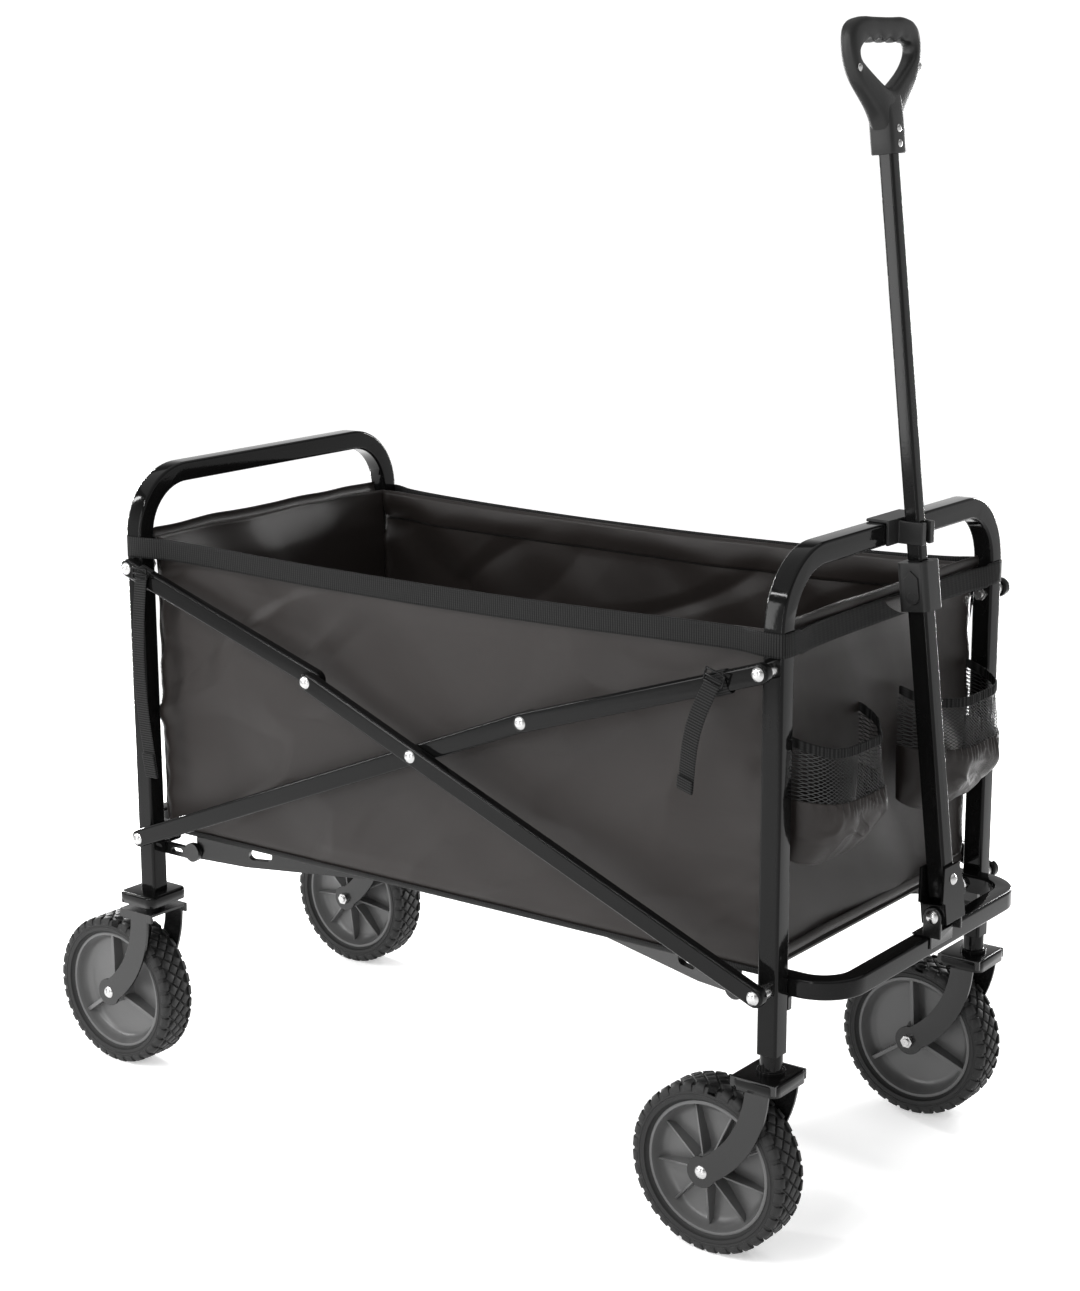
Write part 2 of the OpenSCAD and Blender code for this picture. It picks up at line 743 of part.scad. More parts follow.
module sway_bolt() {
  half = yoke_gap + yoke_t;
  color(zinc) on_stem(sway_at) rotate([0, 90, 0]) {
    translate([0, 0, half]) dome(head_r - 1, head_h);
    translate([0, 0, -half - 4]) cylinder(d = 8, h = 2*half + 4);
    translate([0, 0, -half - 4]) cylinder(r = 6.5, h = 4, $fn = 6);
  }
}

module outer_tube() {
  foot = 17;
  color(metal) on_stem(foot) difference() {
    linear_extrude(collar_at - foot) tube_section(outer_tube);
    translate([0, 0, sway_at - foot]) rotate([0, 90, 0])
      cylinder(r = 4 + run, h = outer_tube + 2, center = true);
  }
}

module inner_tube() {
  start = sway_at + 6 + telescope;
  color(metal) on_stem() difference() {
    translate([0, 0, start])
      linear_extrude(grip_at + grip_socket - start) tube_section(inner_tube, 1.2);
    translate([0, -inner_tube/2, collar_at + latch_up]) rotate([90, 0, 0])
      cylinder(r = 4, h = 6, center = true);
  }
}

// Plastic block at the mouth of the outer tube, with the push button on its right face.
module collar() {
  color(plastic) on_stem(collar_at) difference() {
    translate([0, 0, -collar_h/2]) linear_extrude(collar_h) rounded(collar_w, collar_w, 6);
    translate([0, 0, -collar_h/2 - 1]) linear_extrude(collar_h/2 + 1)
      square(outer_tube, center = true);
    translate([0, 0, -1]) linear_extrude(collar_h/2 + 2)
      square(inner_tube + 2*gap, center = true);
    button_space();
  }
}

module button_space() {
  translate([0, -inner_tube/2 - gap + 1, latch_up]) rotate([90, 0, 0])
    cylinder(r = 3.4 + gap, h = 12);
  translate([0, -collar_w/2 + 4.5, 0]) rotate([90, 0, 0]) linear_extrude(6) button_outline(gap);
}

module button_outline(grow = 0) {
  square([2*(button_r + grow), 18 + 2*grow], center = true);
  translate([0, -9]) circle(button_r + grow);
  translate([0, 9]) polygon([[-button_r - grow, 0], [button_r + grow, 0], [0, button_r + grow]]);
}

module push_button() {
  face = collar_w/2 + 1.5;
  color(plastic) on_stem(collar_at) {
    translate([0, -face + 2.8, 0]) rotate([90, 0, 0]) linear_extrude(2.8) button_outline();
    translate([0, -face + 2, -9]) rotate([90, 0, 0]) cylinder(r = 4.5, h = 2.6);
  }
}

module button_spring() {
  coil_r = 2.6;
  wire = 0.5;
  pitch = (collar_w/2 - 1.3 - inner_tube/2 - 2*wire - 2*gap)/6;
  color(zinc) on_stem(collar_at + latch_up)
    for (i = [0:6]) translate([0, -inner_tube/2 - wire - gap - pitch*i, 0]) rotate([90, 0, 0])
      rotate_extrude() translate([coil_r, 0]) circle(wire, $fn = 16);
}

// D-shaped loop in the YZ plane on a square socket.
module grip() {
  arm = 15;
  bar_top = 24;
  outer_r = 30;
  opening_low = 56;
  color(plastic) on_stem(grip_at) difference() {
    union() {
      linear_extrude(socket_h) rounded(26, 30, 5);
      rotate([90, 0, 90]) linear_extrude(grip_t, center = true) difference() {
        grip_outline(0, socket_h - 14, outer_r);
        grip_outline(arm, opening_low, outer_r - arm, bar_top);
      }
    }
    translate([0, 0, -1]) linear_extrude(grip_socket + 1.1)
      square(inner_tube + 2*run, center = true);
  }
}

// Outline of the loop, or with an inset, of its opening: round top corners, tapering to the socket.
module grip_outline(inset, low, r, top_inset = 0) {
  half = grip_w/2 - inset;
  high = grip_h - top_inset;
  waist = 0.58*high + 0.3*low;
  polygon(concat([[-13 - inset/3, low], [13 + inset/3, low], [half, waist]],
                 arc([half - r, high - r], r, 0, 90),
                 arc([-half + r, high - r], r, 90, 180),
                 [[-half, waist]]));
}

module grip_rivets() {
  color(zinc) on_stem(grip_at) {
    for (z = [9, 23]) translate([13, 0, z]) rotate([0, 90, 0]) dome(4, 1.8);
    for (s = [-1, 1]) translate([grip_t/2, s*(grip_w/2 - 9), grip_h - 46])
      rotate([0, 90, 0]) dome(4, 1.8);
  }
}

front_hoop();
front_bumper();
handle_saddle();
handle_clip();
front_swivel_collars();
front_pivot_bolts();
front_brackets();
front_wall();
rim_band();
tub_sides();
pocket_right();
pocket_left();
front_straps();
handle_pitch_bolt();
rear_hoop();
rear_bumper();
rear_fork_right();
rear_fork_left();
rear_pivot_bolts();
rear_brackets();
rear_wall();
rear_straps();
rear_axle_bolts();
bar_a_right();
bar_a_left();
bar_rivets_right();
bar_rivets_left();
bar_b_right();
bar_b_left();
link_front_right();
link_front_left();
link_rivet_right();
link_rivet_left();
link_rear_right();
link_rear_left();
front_fork_right();
front_fork_left();
front_axle_right();
front_axle_left();
tyre_front_right();
tyre_front_left();
tyre_rear_right();
tyre_rear_left();
rim_front_right();
rim_front_left();
rim_rear_right();
rim_rear_left();
floor_legs_front();
floor_board_front();
floor_legs_rear();
floor_board_rear();
yoke();
sway_bolt();
outer_tube();
collar();
push_button();
button_spring();
inner_tube();
grip();
grip_rivets();
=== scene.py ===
# Looks of a collapsible utility wagon: black tube hoops and crossing side bars, a sewn tub with two
# net pockets, four wheels with moulded rims, and a telescoping pull handle.
import json
from math import cos, hypot, pi, radians, sin, tau

import bmesh
import bpy
from mathutils import Matrix, Vector, noise


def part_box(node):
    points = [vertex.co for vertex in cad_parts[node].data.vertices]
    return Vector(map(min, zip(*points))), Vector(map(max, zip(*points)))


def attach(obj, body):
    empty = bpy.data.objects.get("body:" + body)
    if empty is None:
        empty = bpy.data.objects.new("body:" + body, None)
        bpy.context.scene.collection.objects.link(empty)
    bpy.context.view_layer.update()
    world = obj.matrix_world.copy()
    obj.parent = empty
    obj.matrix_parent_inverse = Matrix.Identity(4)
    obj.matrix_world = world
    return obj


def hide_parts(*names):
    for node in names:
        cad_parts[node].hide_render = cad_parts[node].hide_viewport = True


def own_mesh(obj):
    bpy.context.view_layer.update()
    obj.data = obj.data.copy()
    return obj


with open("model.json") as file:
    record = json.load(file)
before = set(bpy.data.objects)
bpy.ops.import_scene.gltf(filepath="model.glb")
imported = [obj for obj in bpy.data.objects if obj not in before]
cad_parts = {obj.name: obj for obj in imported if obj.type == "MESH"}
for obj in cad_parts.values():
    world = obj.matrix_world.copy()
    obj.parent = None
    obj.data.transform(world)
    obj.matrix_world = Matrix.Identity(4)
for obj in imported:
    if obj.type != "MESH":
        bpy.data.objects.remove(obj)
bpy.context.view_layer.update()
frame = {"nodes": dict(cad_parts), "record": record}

# ---- The studio -----------------------------------------------------------------------------
# A room with white walls, a dimmer ceiling and a pale floor that a wide lamp overhead keeps even.
# Tall narrow lamps at the sides draw the bright lines along the tubes.
front_low, front_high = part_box("front_hoop")
rear_low, rear_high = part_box("rear_hoop")
tube = front_high.x - front_low.x
x_front = (front_low.x + front_high.x) / 2
x_rear = (rear_low.x + rear_high.x) / 2
post_y = front_high.y - tube / 2
middle = (x_front + x_rear) / 2

scene = bpy.context.scene
scene.view_settings.view_transform = "Standard"
scene.world = bpy.data.worlds.new("white_room")
scene.world.use_nodes = True
room = scene.world.node_tree
heading = room.nodes.new("ShaderNodeTexCoord")
split = room.nodes.new("ShaderNodeSeparateXYZ")
ceiling = room.nodes.new("ShaderNodeMapRange")
for socket, value in (("From Min", 0.12), ("From Max", 0.55), ("To Min", 1.05), ("To Max", 0.10)):
    ceiling.inputs[socket].default_value = value
room.links.new(heading.outputs["Generated"], split.inputs[0])
room.links.new(split.outputs["Z"], ceiling.inputs["Value"])
room.links.new(ceiling.outputs["Result"], room.nodes["Background"].inputs["Color"])

lens = bpy.data.cameras.new("camera")
lens.lens = 69.74
lens.clip_end = 100
camera = bpy.data.objects.new("camera", lens)
scene.collection.objects.link(camera)
camera_yaw, camera_pitch, camera_roll = 0.6423, 0.2283, -0.004
camera.matrix_world = (
    Matrix.Translation((middle + 1.575, -2.1267, 1.1341))
    @ Matrix.Rotation(camera_yaw, 4, "Z")
    @ Matrix.Rotation(pi / 2 - camera_pitch, 4, "X")
    @ Matrix.Rotation(camera_roll, 4, "Z")
)
scene.camera = camera


def softbox(name, place, aim, width, height, power):
    lamp = bpy.data.lights.new(name, "AREA")
    lamp.shape = "RECTANGLE"
    lamp.size, lamp.size_y, lamp.energy = width, height, power
    holder = bpy.data.objects.new(name, lamp)
    scene.collection.objects.link(holder)
    turn = (Vector(aim) - Vector(place)).to_track_quat("-Z", "Y")
    holder.matrix_world = Matrix.Translation(place) @ turn.to_matrix().to_4x4()
    holder.visible_camera = False


softbox("back_left_lamp", (-1.7, 0.55, 0.62), (0, 0, 0.35), 0.10, 1.2, 34)
softbox("back_right_lamp", (0.35, 1.75, 0.62), (0.1, 0, 0.35), 0.10, 1.2, 28)
softbox("side_lamp", (-0.9, -2.0, 1.0), (0, 0, 0.4), 0.5, 1.3, 18)
softbox("near_lamp", (0.75, -2.1, 0.9), (0.2, 0, 0.5), 0.04, 1.5, 9)
softbox("high_lamp", (-0.35, -1.55, 1.85), (-0.1, -0.1, 0.5), 2.0, 0.07, 22)
softbox("high_left_lamp", (-1.75, -0.95, 1.25), (0, -0.2, 0.45), 0.10, 0.9, 12)

wide_lamp = bpy.data.lights.new("overhead_lamp", "SUN")
wide_lamp.energy, wide_lamp.angle = 1.5, radians(100)
scene.collection.objects.link(bpy.data.objects.new("overhead_lamp", wide_lamp))

ground = bmesh.new()
bmesh.ops.create_grid(ground, x_segments=4, y_segments=4, size=30)
floor_mesh = bpy.data.meshes.new("studio_floor")
ground.to_mesh(floor_mesh)
ground.free()
studio_floor = bpy.data.objects.new("studio_floor", floor_mesh)
scene.collection.objects.link(studio_floor)


# ---- Black tube hoops -----------------------------------------------------------------------
# Square steel tube bent into two hoops, with a bumper bar bolted inside the foot of each, all in
# gloss black powder coat. The frame's own shapes are kept, with their edges broken.
class Lead:
    """A shader socket that takes part in plain arithmetic, and starts other nodes."""

    def __init__(self, tree, socket=None):
        self.tree, self.socket = tree, socket

    def node(self, kind, settings, inputs, out=0):
        made = self.tree.nodes.new("ShaderNode" + kind)
        for name, value in settings.items():
            if name == "stops":
                ramp = made.color_ramp.elements
                for i, (at, colour) in enumerate(value):
                    stop = ramp[i] if i < 2 else ramp.new(at)
                    stop.position, stop.color = at, colour
            else:
                setattr(made, name, value)
        for name, value in inputs.items():
            if isinstance(value, Lead):
                self.tree.links.new(value.socket, made.inputs[name])
            else:
                made.inputs[name].default_value = value
        return Lead(self.tree, made.outputs[out])

    def math(self, operation, *others):
        """A Math node with this value first."""
        return self.node("Math", {"operation": operation}, dict(enumerate((self,) + others)))

    def blend(self, low, high):
        """The colour `low` where this value is 0, and `high` where it is 1."""
        return self.node("Mix", {"data_type": "RGBA"}, {0: self, 6: low, 7: high}, 2)

    def __add__(self, other):
        return self.math("ADD", other)

    def __sub__(self, other):
        return self.math("SUBTRACT", other)

    def __rsub__(self, other):
        return self.node("Math", {"operation": "SUBTRACT"}, {0: other, 1: self})

    def __mul__(self, other):
        return self.math("MULTIPLY", other)

    __radd__, __rmul__ = __add__, __mul__


def coating(name, recipe):
    """A material whose main sockets come from recipe(lead)."""
    made = bpy.data.materials.new(name)
    made.use_nodes = True
    tree = made.node_tree
    shader = tree.nodes["Principled BSDF"]
    for socket, value in recipe(Lead(tree)).items():
        if isinstance(value, Lead):
            tree.links.new(value.socket, shader.inputs[socket])
        else:
            shader.inputs[socket].default_value = value
    return made


def speckle(lead, scale, detail=2.0, vector=None):
    place = vector or lead.node("TexCoord", {}, {}, "Object")
    return lead.node("TexNoise", {}, {"Vector": place, "Scale": scale, "Detail": detail})


def relief(lead, height, depth, strength=1.0):
    return lead.node("Bump", {}, {"Height": height, "Distance": depth, "Strength": strength})


def grey(level, warmth=0.0):
    return (level * (1 + warmth), level, level * (1 - warmth), 1)


def powder_coat(lead):
    orange_peel = speckle(lead, 380, 1)
    handling = speckle(lead, 14, 5)
    return {
        "Base Color": handling.blend(grey(0.0025), grey(0.005)),
        "Roughness": handling * 0.06 + 0.05,
        "Specular IOR Level": 0.13,
        "Normal": relief(lead, orange_peel, 0.00010, 0.25),
    }


gloss_black = coating("gloss_black_powder_coat", powder_coat)
studio_floor.data.materials.append(
    coating("pale_floor", lambda lead: {
        "Base Color": speckle(lead, 3).blend(grey(0.93), grey(0.96)),
        "Emission Color": (1, 1, 1, 1),
        "Emission Strength": 0.38,
        "Roughness": 0.9,
        "Specular IOR Level": 0.1,
    })
)


def show(name, shape, body, material, slot, *nodes):
    """Makes a bmesh into a finished piece of the wagon that rides on a body."""
    mesh = bpy.data.meshes.new(name)
    shape.to_mesh(mesh)
    shape.free()
    mesh.materials.append(material)
    mesh.polygons.foreach_set("use_smooth", [True] * len(mesh.polygons))
    mesh.set_sharp_from_angle(angle=radians(40))
    piece = bpy.data.objects.new(name, mesh)
    scene.collection.objects.link(piece)
    if body:
        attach(piece, body)
    if nodes:
        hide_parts(*nodes)
    return piece


body_of = {
    node: body for body, nodes in frame["record"]["behaviour"]["bodies"].items() for node in nodes
}
slot_of = {part["node"]: part["material_slot"] for part in frame["record"]["subparts"]}


def break_edges(piece, width, segments=2):
    bevel = piece.modifiers.new("broken_edges", "BEVEL")
    bevel.width, bevel.segments = width, segments
    bevel.limit_method, bevel.angle_limit = "ANGLE", radians(38)
    bevel.harden_normals = True


def dress(node, material, edge=0.0006, segments=2):
    """Shows a frame part as a merged copy of its own mesh, with broken edges."""
    shape = bmesh.new()
    shape.from_mesh(frame["nodes"][node].data)
    bmesh.ops.remove_doubles(shape, verts=shape.verts, dist=1e-6)
    bmesh.ops.dissolve_limit(
        shape, angle_limit=radians(0.3), verts=shape.verts, edges=shape.edges
    )
    piece = show(node + "_finish", shape, body_of[node], material, slot_of[node], node)
    break_edges(piece, edge, segments)
    return piece


for node in ("front_hoop", "rear_hoop", "front_bumper", "rear_bumper"):
    dress(node, gloss_black, 0.0004)

# ---- Side bars and links --------------------------------------------------------------------
# Oval-ended steel bars that cross at a rivet on each side, with short links from their upper
# ends to the posts. They carry the same powder coat as the hoops.
for side in ("right", "left"):
    for node in ("bar_a_", "bar_b_", "link_front_", "link_rear_"):
        dress(node + side, gloss_black, 0.0004)

# ---- Stamped brackets, forks, yoke and saddle -----------------------------------------------
# Pressed 3 mm sheet, blanked and folded, in a slightly duller black coat that softens every edge;
# the yoke takes the hoops' gloss coat.


def stamped_coat(lead):
    grain = speckle(lead, 260, 3)
    patches = speckle(lead, 9, 5)
    return {
        "Base Color": patches.blend(grey(0.0045), grey(0.009)),
        "Roughness": patches * 0.12 + 0.20,
        "Specular IOR Level": 0.42,
        "Normal": relief(lead, grain, 0.00015, 0.4),
    }


stamped_black = coating("stamped_black_coat", stamped_coat)
stamped_parts = (
    "front_brackets", "rear_brackets", "floor_legs_front", "floor_legs_rear",
    "front_fork_right", "front_fork_left", "rear_fork_right", "rear_fork_left",
    "handle_saddle", "yoke",
)
for node in stamped_parts:
    dress(node, gloss_black if node == "yoke" else stamped_black, 0.0011, 3)


def bevel_edges(shape, edges, offset, segments=1):
    return bmesh.ops.bevel(
        shape, geom=edges, offset=offset, segments=segments, profile=0.5, affect="EDGES", material=-1
    )


CAP_BACK, CAP_AHEAD, CAP_DEEP = 0.029, 0.023, 0.012
CAP_LAP = Vector((0.001, 0.001, 0.0008))


def fork_cap(name, node, body):
    """The folded cap over a fork's plate: a rounded box with its skirt turned down all round."""
    low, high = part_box(node)
    swivel = x_front if "front" in node else x_rear
    cap_low = Vector((swivel - CAP_BACK, low.y, high.z - CAP_DEEP))
    cap_high = Vector((swivel + CAP_AHEAD, high.y, high.z))
    shape = bmesh.new()
    bmesh.ops.create_cube(shape, size=1)
    bmesh.ops.scale(shape, verts=shape.verts, vec=cap_high - cap_low + CAP_LAP)
    upright = [e for e in shape.edges if abs(e.verts[0].co.z - e.verts[1].co.z) > 0.005]
    bevel_edges(shape, upright, 0.009, 5)
    raised = [e for e in shape.edges if all(v.co.z > 0 for v in e.verts)]
    rim_edges = [e for e in raised if e.calc_face_angle(0) > 1]
    bevel_edges(shape, rim_edges, 0.003, 4)
    under = [f for f in shape.faces if f.normal.z < -0.9]
    bmesh.ops.delete(shape, geom=under, context="FACES")
    bmesh.ops.translate(shape, verts=shape.verts, vec=(cap_low + cap_high) / 2)
    bmesh.ops.recalc_face_normals(shape, faces=shape.faces)
    cap = show(name, shape, body, gloss_black, "painted_steel")
    sheet_steel = cap.modifiers.new("sheet_steel", "SOLIDIFY")
    sheet_steel.thickness, sheet_steel.offset = 0.0022, -1


for side in ("right", "left"):
    fork_cap("fork_cap_front_" + side, "front_fork_" + side, "caster_" + side)
    fork_cap("fork_cap_rear_" + side, "rear_fork_" + side, "rear_frame")

# ---- Bolts and rivets -----------------------------------------------------------------------
# Bright zinc fasteners with domed heads. The frame's own shapes are kept; the push button's spring,
# which shortens as the button goes in, gets a mesh of its own here, but nothing makes it shorten.


def zinc_plate(lead):
    streaks = speckle(lead, 160, 4)
    return {
        "Base Color": streaks.blend(grey(0.34, 0.01), grey(0.60)),
        "Metallic": 1.0,
        "Roughness": streaks * 0.2 + 0.16,
    }


zinc = coating("bright_zinc", zinc_plate)
fasteners = [
    node for node, slot in slot_of.items() if slot == "zinc_bolt" and node != "front_swivel_collars"
]
for node in fasteners:
    piece = dress(node, zinc, 0.0003)
    if node == "button_spring":
        spring_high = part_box(node)[1]
        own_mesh(piece)
dress("front_swivel_collars", gloss_black, 0.0005)

# ---- Tyres ----------------------------------------------------------------------------------
# Solid black rubber tyres. The tread is three rows of raised diamonds between two rows of
# shoulder lugs, moulded in one piece with the plain side walls.


def rubber(lead):
    grain = speckle(lead, 700, 3)
    dust = speckle(lead, 22, 5)
    return {
        "Base Color": dust.blend(grey(0.007), grey(0.016)),
        "Roughness": dust * 0.2 + 0.52,
        "Specular IOR Level": 0.30,
        "Normal": relief(lead, grain, 0.0003, 0.5),
    }


tyre_rubber = coating("tyre_rubber", rubber)
LUGS = 36
BLOCK_RISE = 0.0028


def spin_duplicates(shape, geometry, steps):
    bmesh.ops.spin(
        shape, geom=geometry, cent=(0, 0, 0), axis=(0, 1, 0), angle=tau, steps=steps,
        use_duplicate=True, use_merge=False,
    )


def profile_ring(shape, points, steps):
    """Spins an outline of (radius, along the axle) points round the Y axis into a closed ring."""
    made = [shape.verts.new((radius, along, 0)) for radius, along in points]
    edges = [shape.edges.new((made[i - 1], made[i])) for i in range(len(made))]
    bmesh.ops.spin(
        shape, geom=made + edges, cent=(0, 0, 0), axis=(0, 1, 0), angle=tau, steps=steps,
        use_duplicate=False, use_merge=True,
    )
    bmesh.ops.remove_doubles(shape, verts=shape.verts, dist=1e-6)


def tread_diamond(shape, radius, along, length, width, turn):
    """One raised diamond on the tread, centred on the row at `along`."""
    base = radius - BLOCK_RISE
    flat = bmesh.ops.create_circle(shape, segments=4, radius=1, cap_ends=True)["verts"]
    bmesh.ops.scale(shape, verts=flat, vec=(length / 2, width / 2, 1))
    bmesh.ops.translate(shape, verts=flat, vec=(0, along, base - 0.001))
    face = flat[0].link_faces[0]
    top = bmesh.ops.extrude_face_region(shape, geom=[face])["geom"]
    raised = [v for v in top if isinstance(v, bmesh.types.BMVert)]
    bmesh.ops.translate(shape, verts=raised, vec=(0, 0, BLOCK_RISE + 0.001))
    bmesh.ops.scale(
        shape, verts=raised, vec=(0.86, 0.86, 1), space=Matrix.Translation((0, -along, 0))
    )
    bevel_edges(shape, [e for e in shape.edges if all(v in raised for v in e.verts)], 0.0006)
    bmesh.ops.rotate(
        shape, verts=shape.verts, cent=(0, 0, 0), matrix=Matrix.Rotation(turn, 3, "Y")
    )


def shoulder_lug(shape, radius, half_width, length, turn):
    """One lug that folds over the tyre's shoulder on to its side wall."""
    outline = [
        (0.66, 0), (0.82, -0.0004), (0.93, -0.0022), (0.985, -0.0052), (1.0, -0.0084), (0.93, -0.0094),
        (0.74, -0.008), (0.66, -0.006),
    ]
    made = [shape.verts.new((-length / 2, half_width * y, radius + z)) for y, z in outline]
    face = shape.faces.new(made)
    top = bmesh.ops.extrude_face_region(shape, geom=[face])["geom"]
    far = [v for v in top if isinstance(v, bmesh.types.BMVert)]
    bmesh.ops.translate(shape, verts=far, vec=(length, 0, 0))
    bevel_edges(shape, [e for e in shape.edges if e.calc_face_angle(0) > 0.5], 0.0005)
    bmesh.ops.rotate(
        shape, verts=shape.verts, cent=(0, 0, 0), matrix=Matrix.Rotation(turn, 3, "Y")
    )


def merged(parts):
    """One bmesh that holds all the given ones."""
    whole = bmesh.new()
    for part in parts:
        holder = bpy.data.meshes.new("part")
        part.to_mesh(holder)
        part.free()
        whole.from_mesh(holder)
        bpy.data.meshes.remove(holder)
    return whole


def tyre(radius, half_width, bead):
    depth = radius - bead
    carcass = bmesh.new()
    half = [
        (bead - 0.001, 0.74), (bead + 0.0012, 0.80), (bead + 0.0022, 0.90), (bead + 0.15 * depth, 0.96),
        (bead + 0.32 * depth, 0.985), (bead + 0.36 * depth, 0.955), (bead + 0.42 * depth, 0.955),
        (bead + 0.46 * depth, 0.985), (bead + 0.58 * depth, 0.97), (bead + 0.74 * depth, 0.93),
        (bead + 0.85 * depth, 0.85), (radius - BLOCK_RISE, 0.66), (radius - BLOCK_RISE + 0.0002, 0.3),
    ]
    outline = [(r, w * half_width) for r, w in half]
    outline += [(r, -y) for r, y in reversed(outline)]
    profile_ring(carcass, outline, 96)
    bmesh.ops.recalc_face_normals(carcass, faces=carcass.faces)
    parts = [carcass]
    pitch = tau / LUGS
    row_gap = 0.36 * half_width
    for row in (-1, 0, 1):
        part = bmesh.new()
        turn = pitch / 2 if row == 0 else 0
        tread_diamond(part, radius, row * row_gap, radius * pitch * 0.93, 1.75 * row_gap, turn)
        spin_duplicates(part, part.verts[:] + part.edges[:] + part.faces[:], LUGS)
        parts.append(part)
    for hand in (-1, 1):
        part = bmesh.new()
        shoulder_lug(part, radius, hand * half_width, radius * pitch * 0.66, pitch / 2)
        bmesh.ops.recalc_face_normals(part, faces=part.faces)
        spin_duplicates(part, part.verts[:] + part.edges[:] + part.faces[:], LUGS)
        parts.append(part)
    return merged(parts)


for corner in ("front_right", "front_left", "rear_right", "rear_left"):
    low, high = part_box("tyre_" + corner)
    rim_low, rim_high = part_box("rim_" + corner)
    shape = tyre((high.z - low.z) / 2, (high.y - low.y) / 2, (rim_high.z - rim_low.z) / 2)
    bmesh.ops.translate(shape, verts=shape.verts, vec=(low + high) / 2)
    show("tyre_tread_" + corner, shape, "wheel_" + corner, tyre_rubber, "tyre_rubber",
         "tyre_" + corner)

# ---- Rims -----------------------------------------------------------------------------------
# Grey moulded plastic rims: a rounded lip, a deep dish and a hub. One face has nine thin ribs
# and the other has three stout ones.


def rim_plastic(lead):
    mould = speckle(lead, 300, 3)
    flow = speckle(lead, 16, 3)
    return {
        "Base Color": flow.blend(grey(0.062), grey(0.092)),
        "Roughness": flow * 0.12 + 0.28,
        "Normal": relief(lead, mould, 0.0002, 0.3),
    }


rim_grey = coating("rim_plastic", rim_plastic)


def rib(shape, start, end, web, rise, fall, thick, turn):
    """A rib that stands on the dish's web and runs from the hub to the barrel."""
    outline = [(start, web), (start, rise), (end, fall), (end, web)]
    made = [shape.verts.new((r, y, -thick / 2)) for r, y in outline]
    top = bmesh.ops.extrude_face_region(shape, geom=[shape.faces.new(made)])["geom"]
    far = [v for v in top if isinstance(v, bmesh.types.BMVert)]
    bmesh.ops.translate(shape, verts=far, vec=(0, 0, thick))
    bevel_edges(shape, shape.edges[:], 0.0004)
    bmesh.ops.recalc_face_normals(shape, faces=shape.faces)
    bmesh.ops.rotate(shape, verts=shape.verts, cent=(0, 0, 0), matrix=Matrix.Rotation(turn, 3, "Y"))


def rim(radius, half_width, hub_half, bore):
    """A rim about the Y axis, with its three stout ribs towards +Y."""
    lip, hub_r, web = 0.0018, 0.0155, 0.0018
    inner = radius - 0.0055
    dish = bmesh.new()
    half = [
        (radius, 0.0), (radius, half_width - lip), (radius - lip * 0.3, half_width - lip * 0.3),
        (radius - lip, half_width), (radius - 2 * lip, half_width - lip * 0.2),
        (radius - 2.6 * lip, half_width - lip * 1.4), (inner, half_width - 0.0055),
        (inner - 0.0025, 0.006), (inner - 0.006, web + 0.0008), (inner - 0.010, web),
        (hub_r + 0.006, web), (hub_r + 0.0015, web + 0.0015), (hub_r, web + 0.006),
        (hub_r - 0.0012, hub_half - 0.001), (hub_r - 0.0022, hub_half), (bore, hub_half),
    ]
    outline = [(r, y) for r, y in half] + [(r, -y) for r, y in reversed(half[1:])]
    profile_ring(dish, outline, 96)
    bmesh.ops.recalc_face_normals(dish, faces=dish.faces)
    parts = [dish]
    stout = (3, 1, 0.018, 0.0135, 0.0045)
    thin = (9, -1, 0.019, 0.0095, 0.0022)
    for count, hand, rise, fall, thick in (stout, thin):
        for i in range(count):
            part = bmesh.new()
            rib(part, hub_r - 0.003, inner + 0.0012, hand * web * 0.4, hand * rise, hand * fall, thick,
                tau * (i + 0.3) / count)
            parts.append(part)
    return merged(parts)


AXLE_BORE = 0.0041
stout_side = {"front_right": 1, "front_left": -1, "rear_right": -1, "rear_left": 1}
for corner, hand in stout_side.items():
    low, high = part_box("rim_" + corner)
    tyre_low, tyre_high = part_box("tyre_" + corner)
    bead_half = 0.79 * (tyre_high.y - tyre_low.y) / 2
    shape = rim((high.z - low.z) / 2, bead_half, (high.y - low.y) / 2, AXLE_BORE)
    if hand < 0:
        bmesh.ops.rotate(shape, verts=shape.verts, cent=(0, 0, 0), matrix=Matrix.Rotation(pi, 3, "Z"))
    bmesh.ops.translate(shape, verts=shape.verts, vec=(low + high) / 2)
    show("rim_dish_" + corner, shape, "wheel_" + corner, rim_grey, "rim_plastic", "rim_" + corner)

# ---- Tub ------------------------------------------------------------------------------------
# Coated polyester cloth: two side walls, two end walls and a floor in two halves, with cased and
# bound edges. The side walls crumple as the wagon folds and shorten towards the front posts; here
# they ride in one fixed shape on the front frame.


def cloth(shape_name, across, along, cells_across, cells_along, place, body, material, slot, *nodes):
    """A cloth of the given flat size. place(u, v) puts each point, with u and v in metres from
    the cloth's middle, and the weave follows the cloth's own UV map, which is also in metres."""
    shape = bmesh.new()
    layer = shape.loops.layers.uv.new("weave")
    bmesh.ops.create_grid(shape, x_segments=cells_across, y_segments=cells_along, size=0.5)
    for face in shape.faces:
        for loop in face.loops:
            loop[layer].uv = (loop.vert.co.x * across, loop.vert.co.y * along)
    for vert in shape.verts:
        vert.co = place(vert.co.x * across, vert.co.y * along)
    bmesh.ops.remove_doubles(shape, verts=shape.verts, dist=1e-5)
    return show(shape_name, shape, body, material, slot, *nodes)


def thicken(piece, depth, levels=1):
    skin = piece.modifiers.new("cloth_thickness", "SOLIDIFY")
    skin.thickness, skin.offset = depth, 0
    if levels:
        soft = piece.modifiers.new("soft_folds", "SUBSURF")
        soft.levels = soft.render_levels = levels


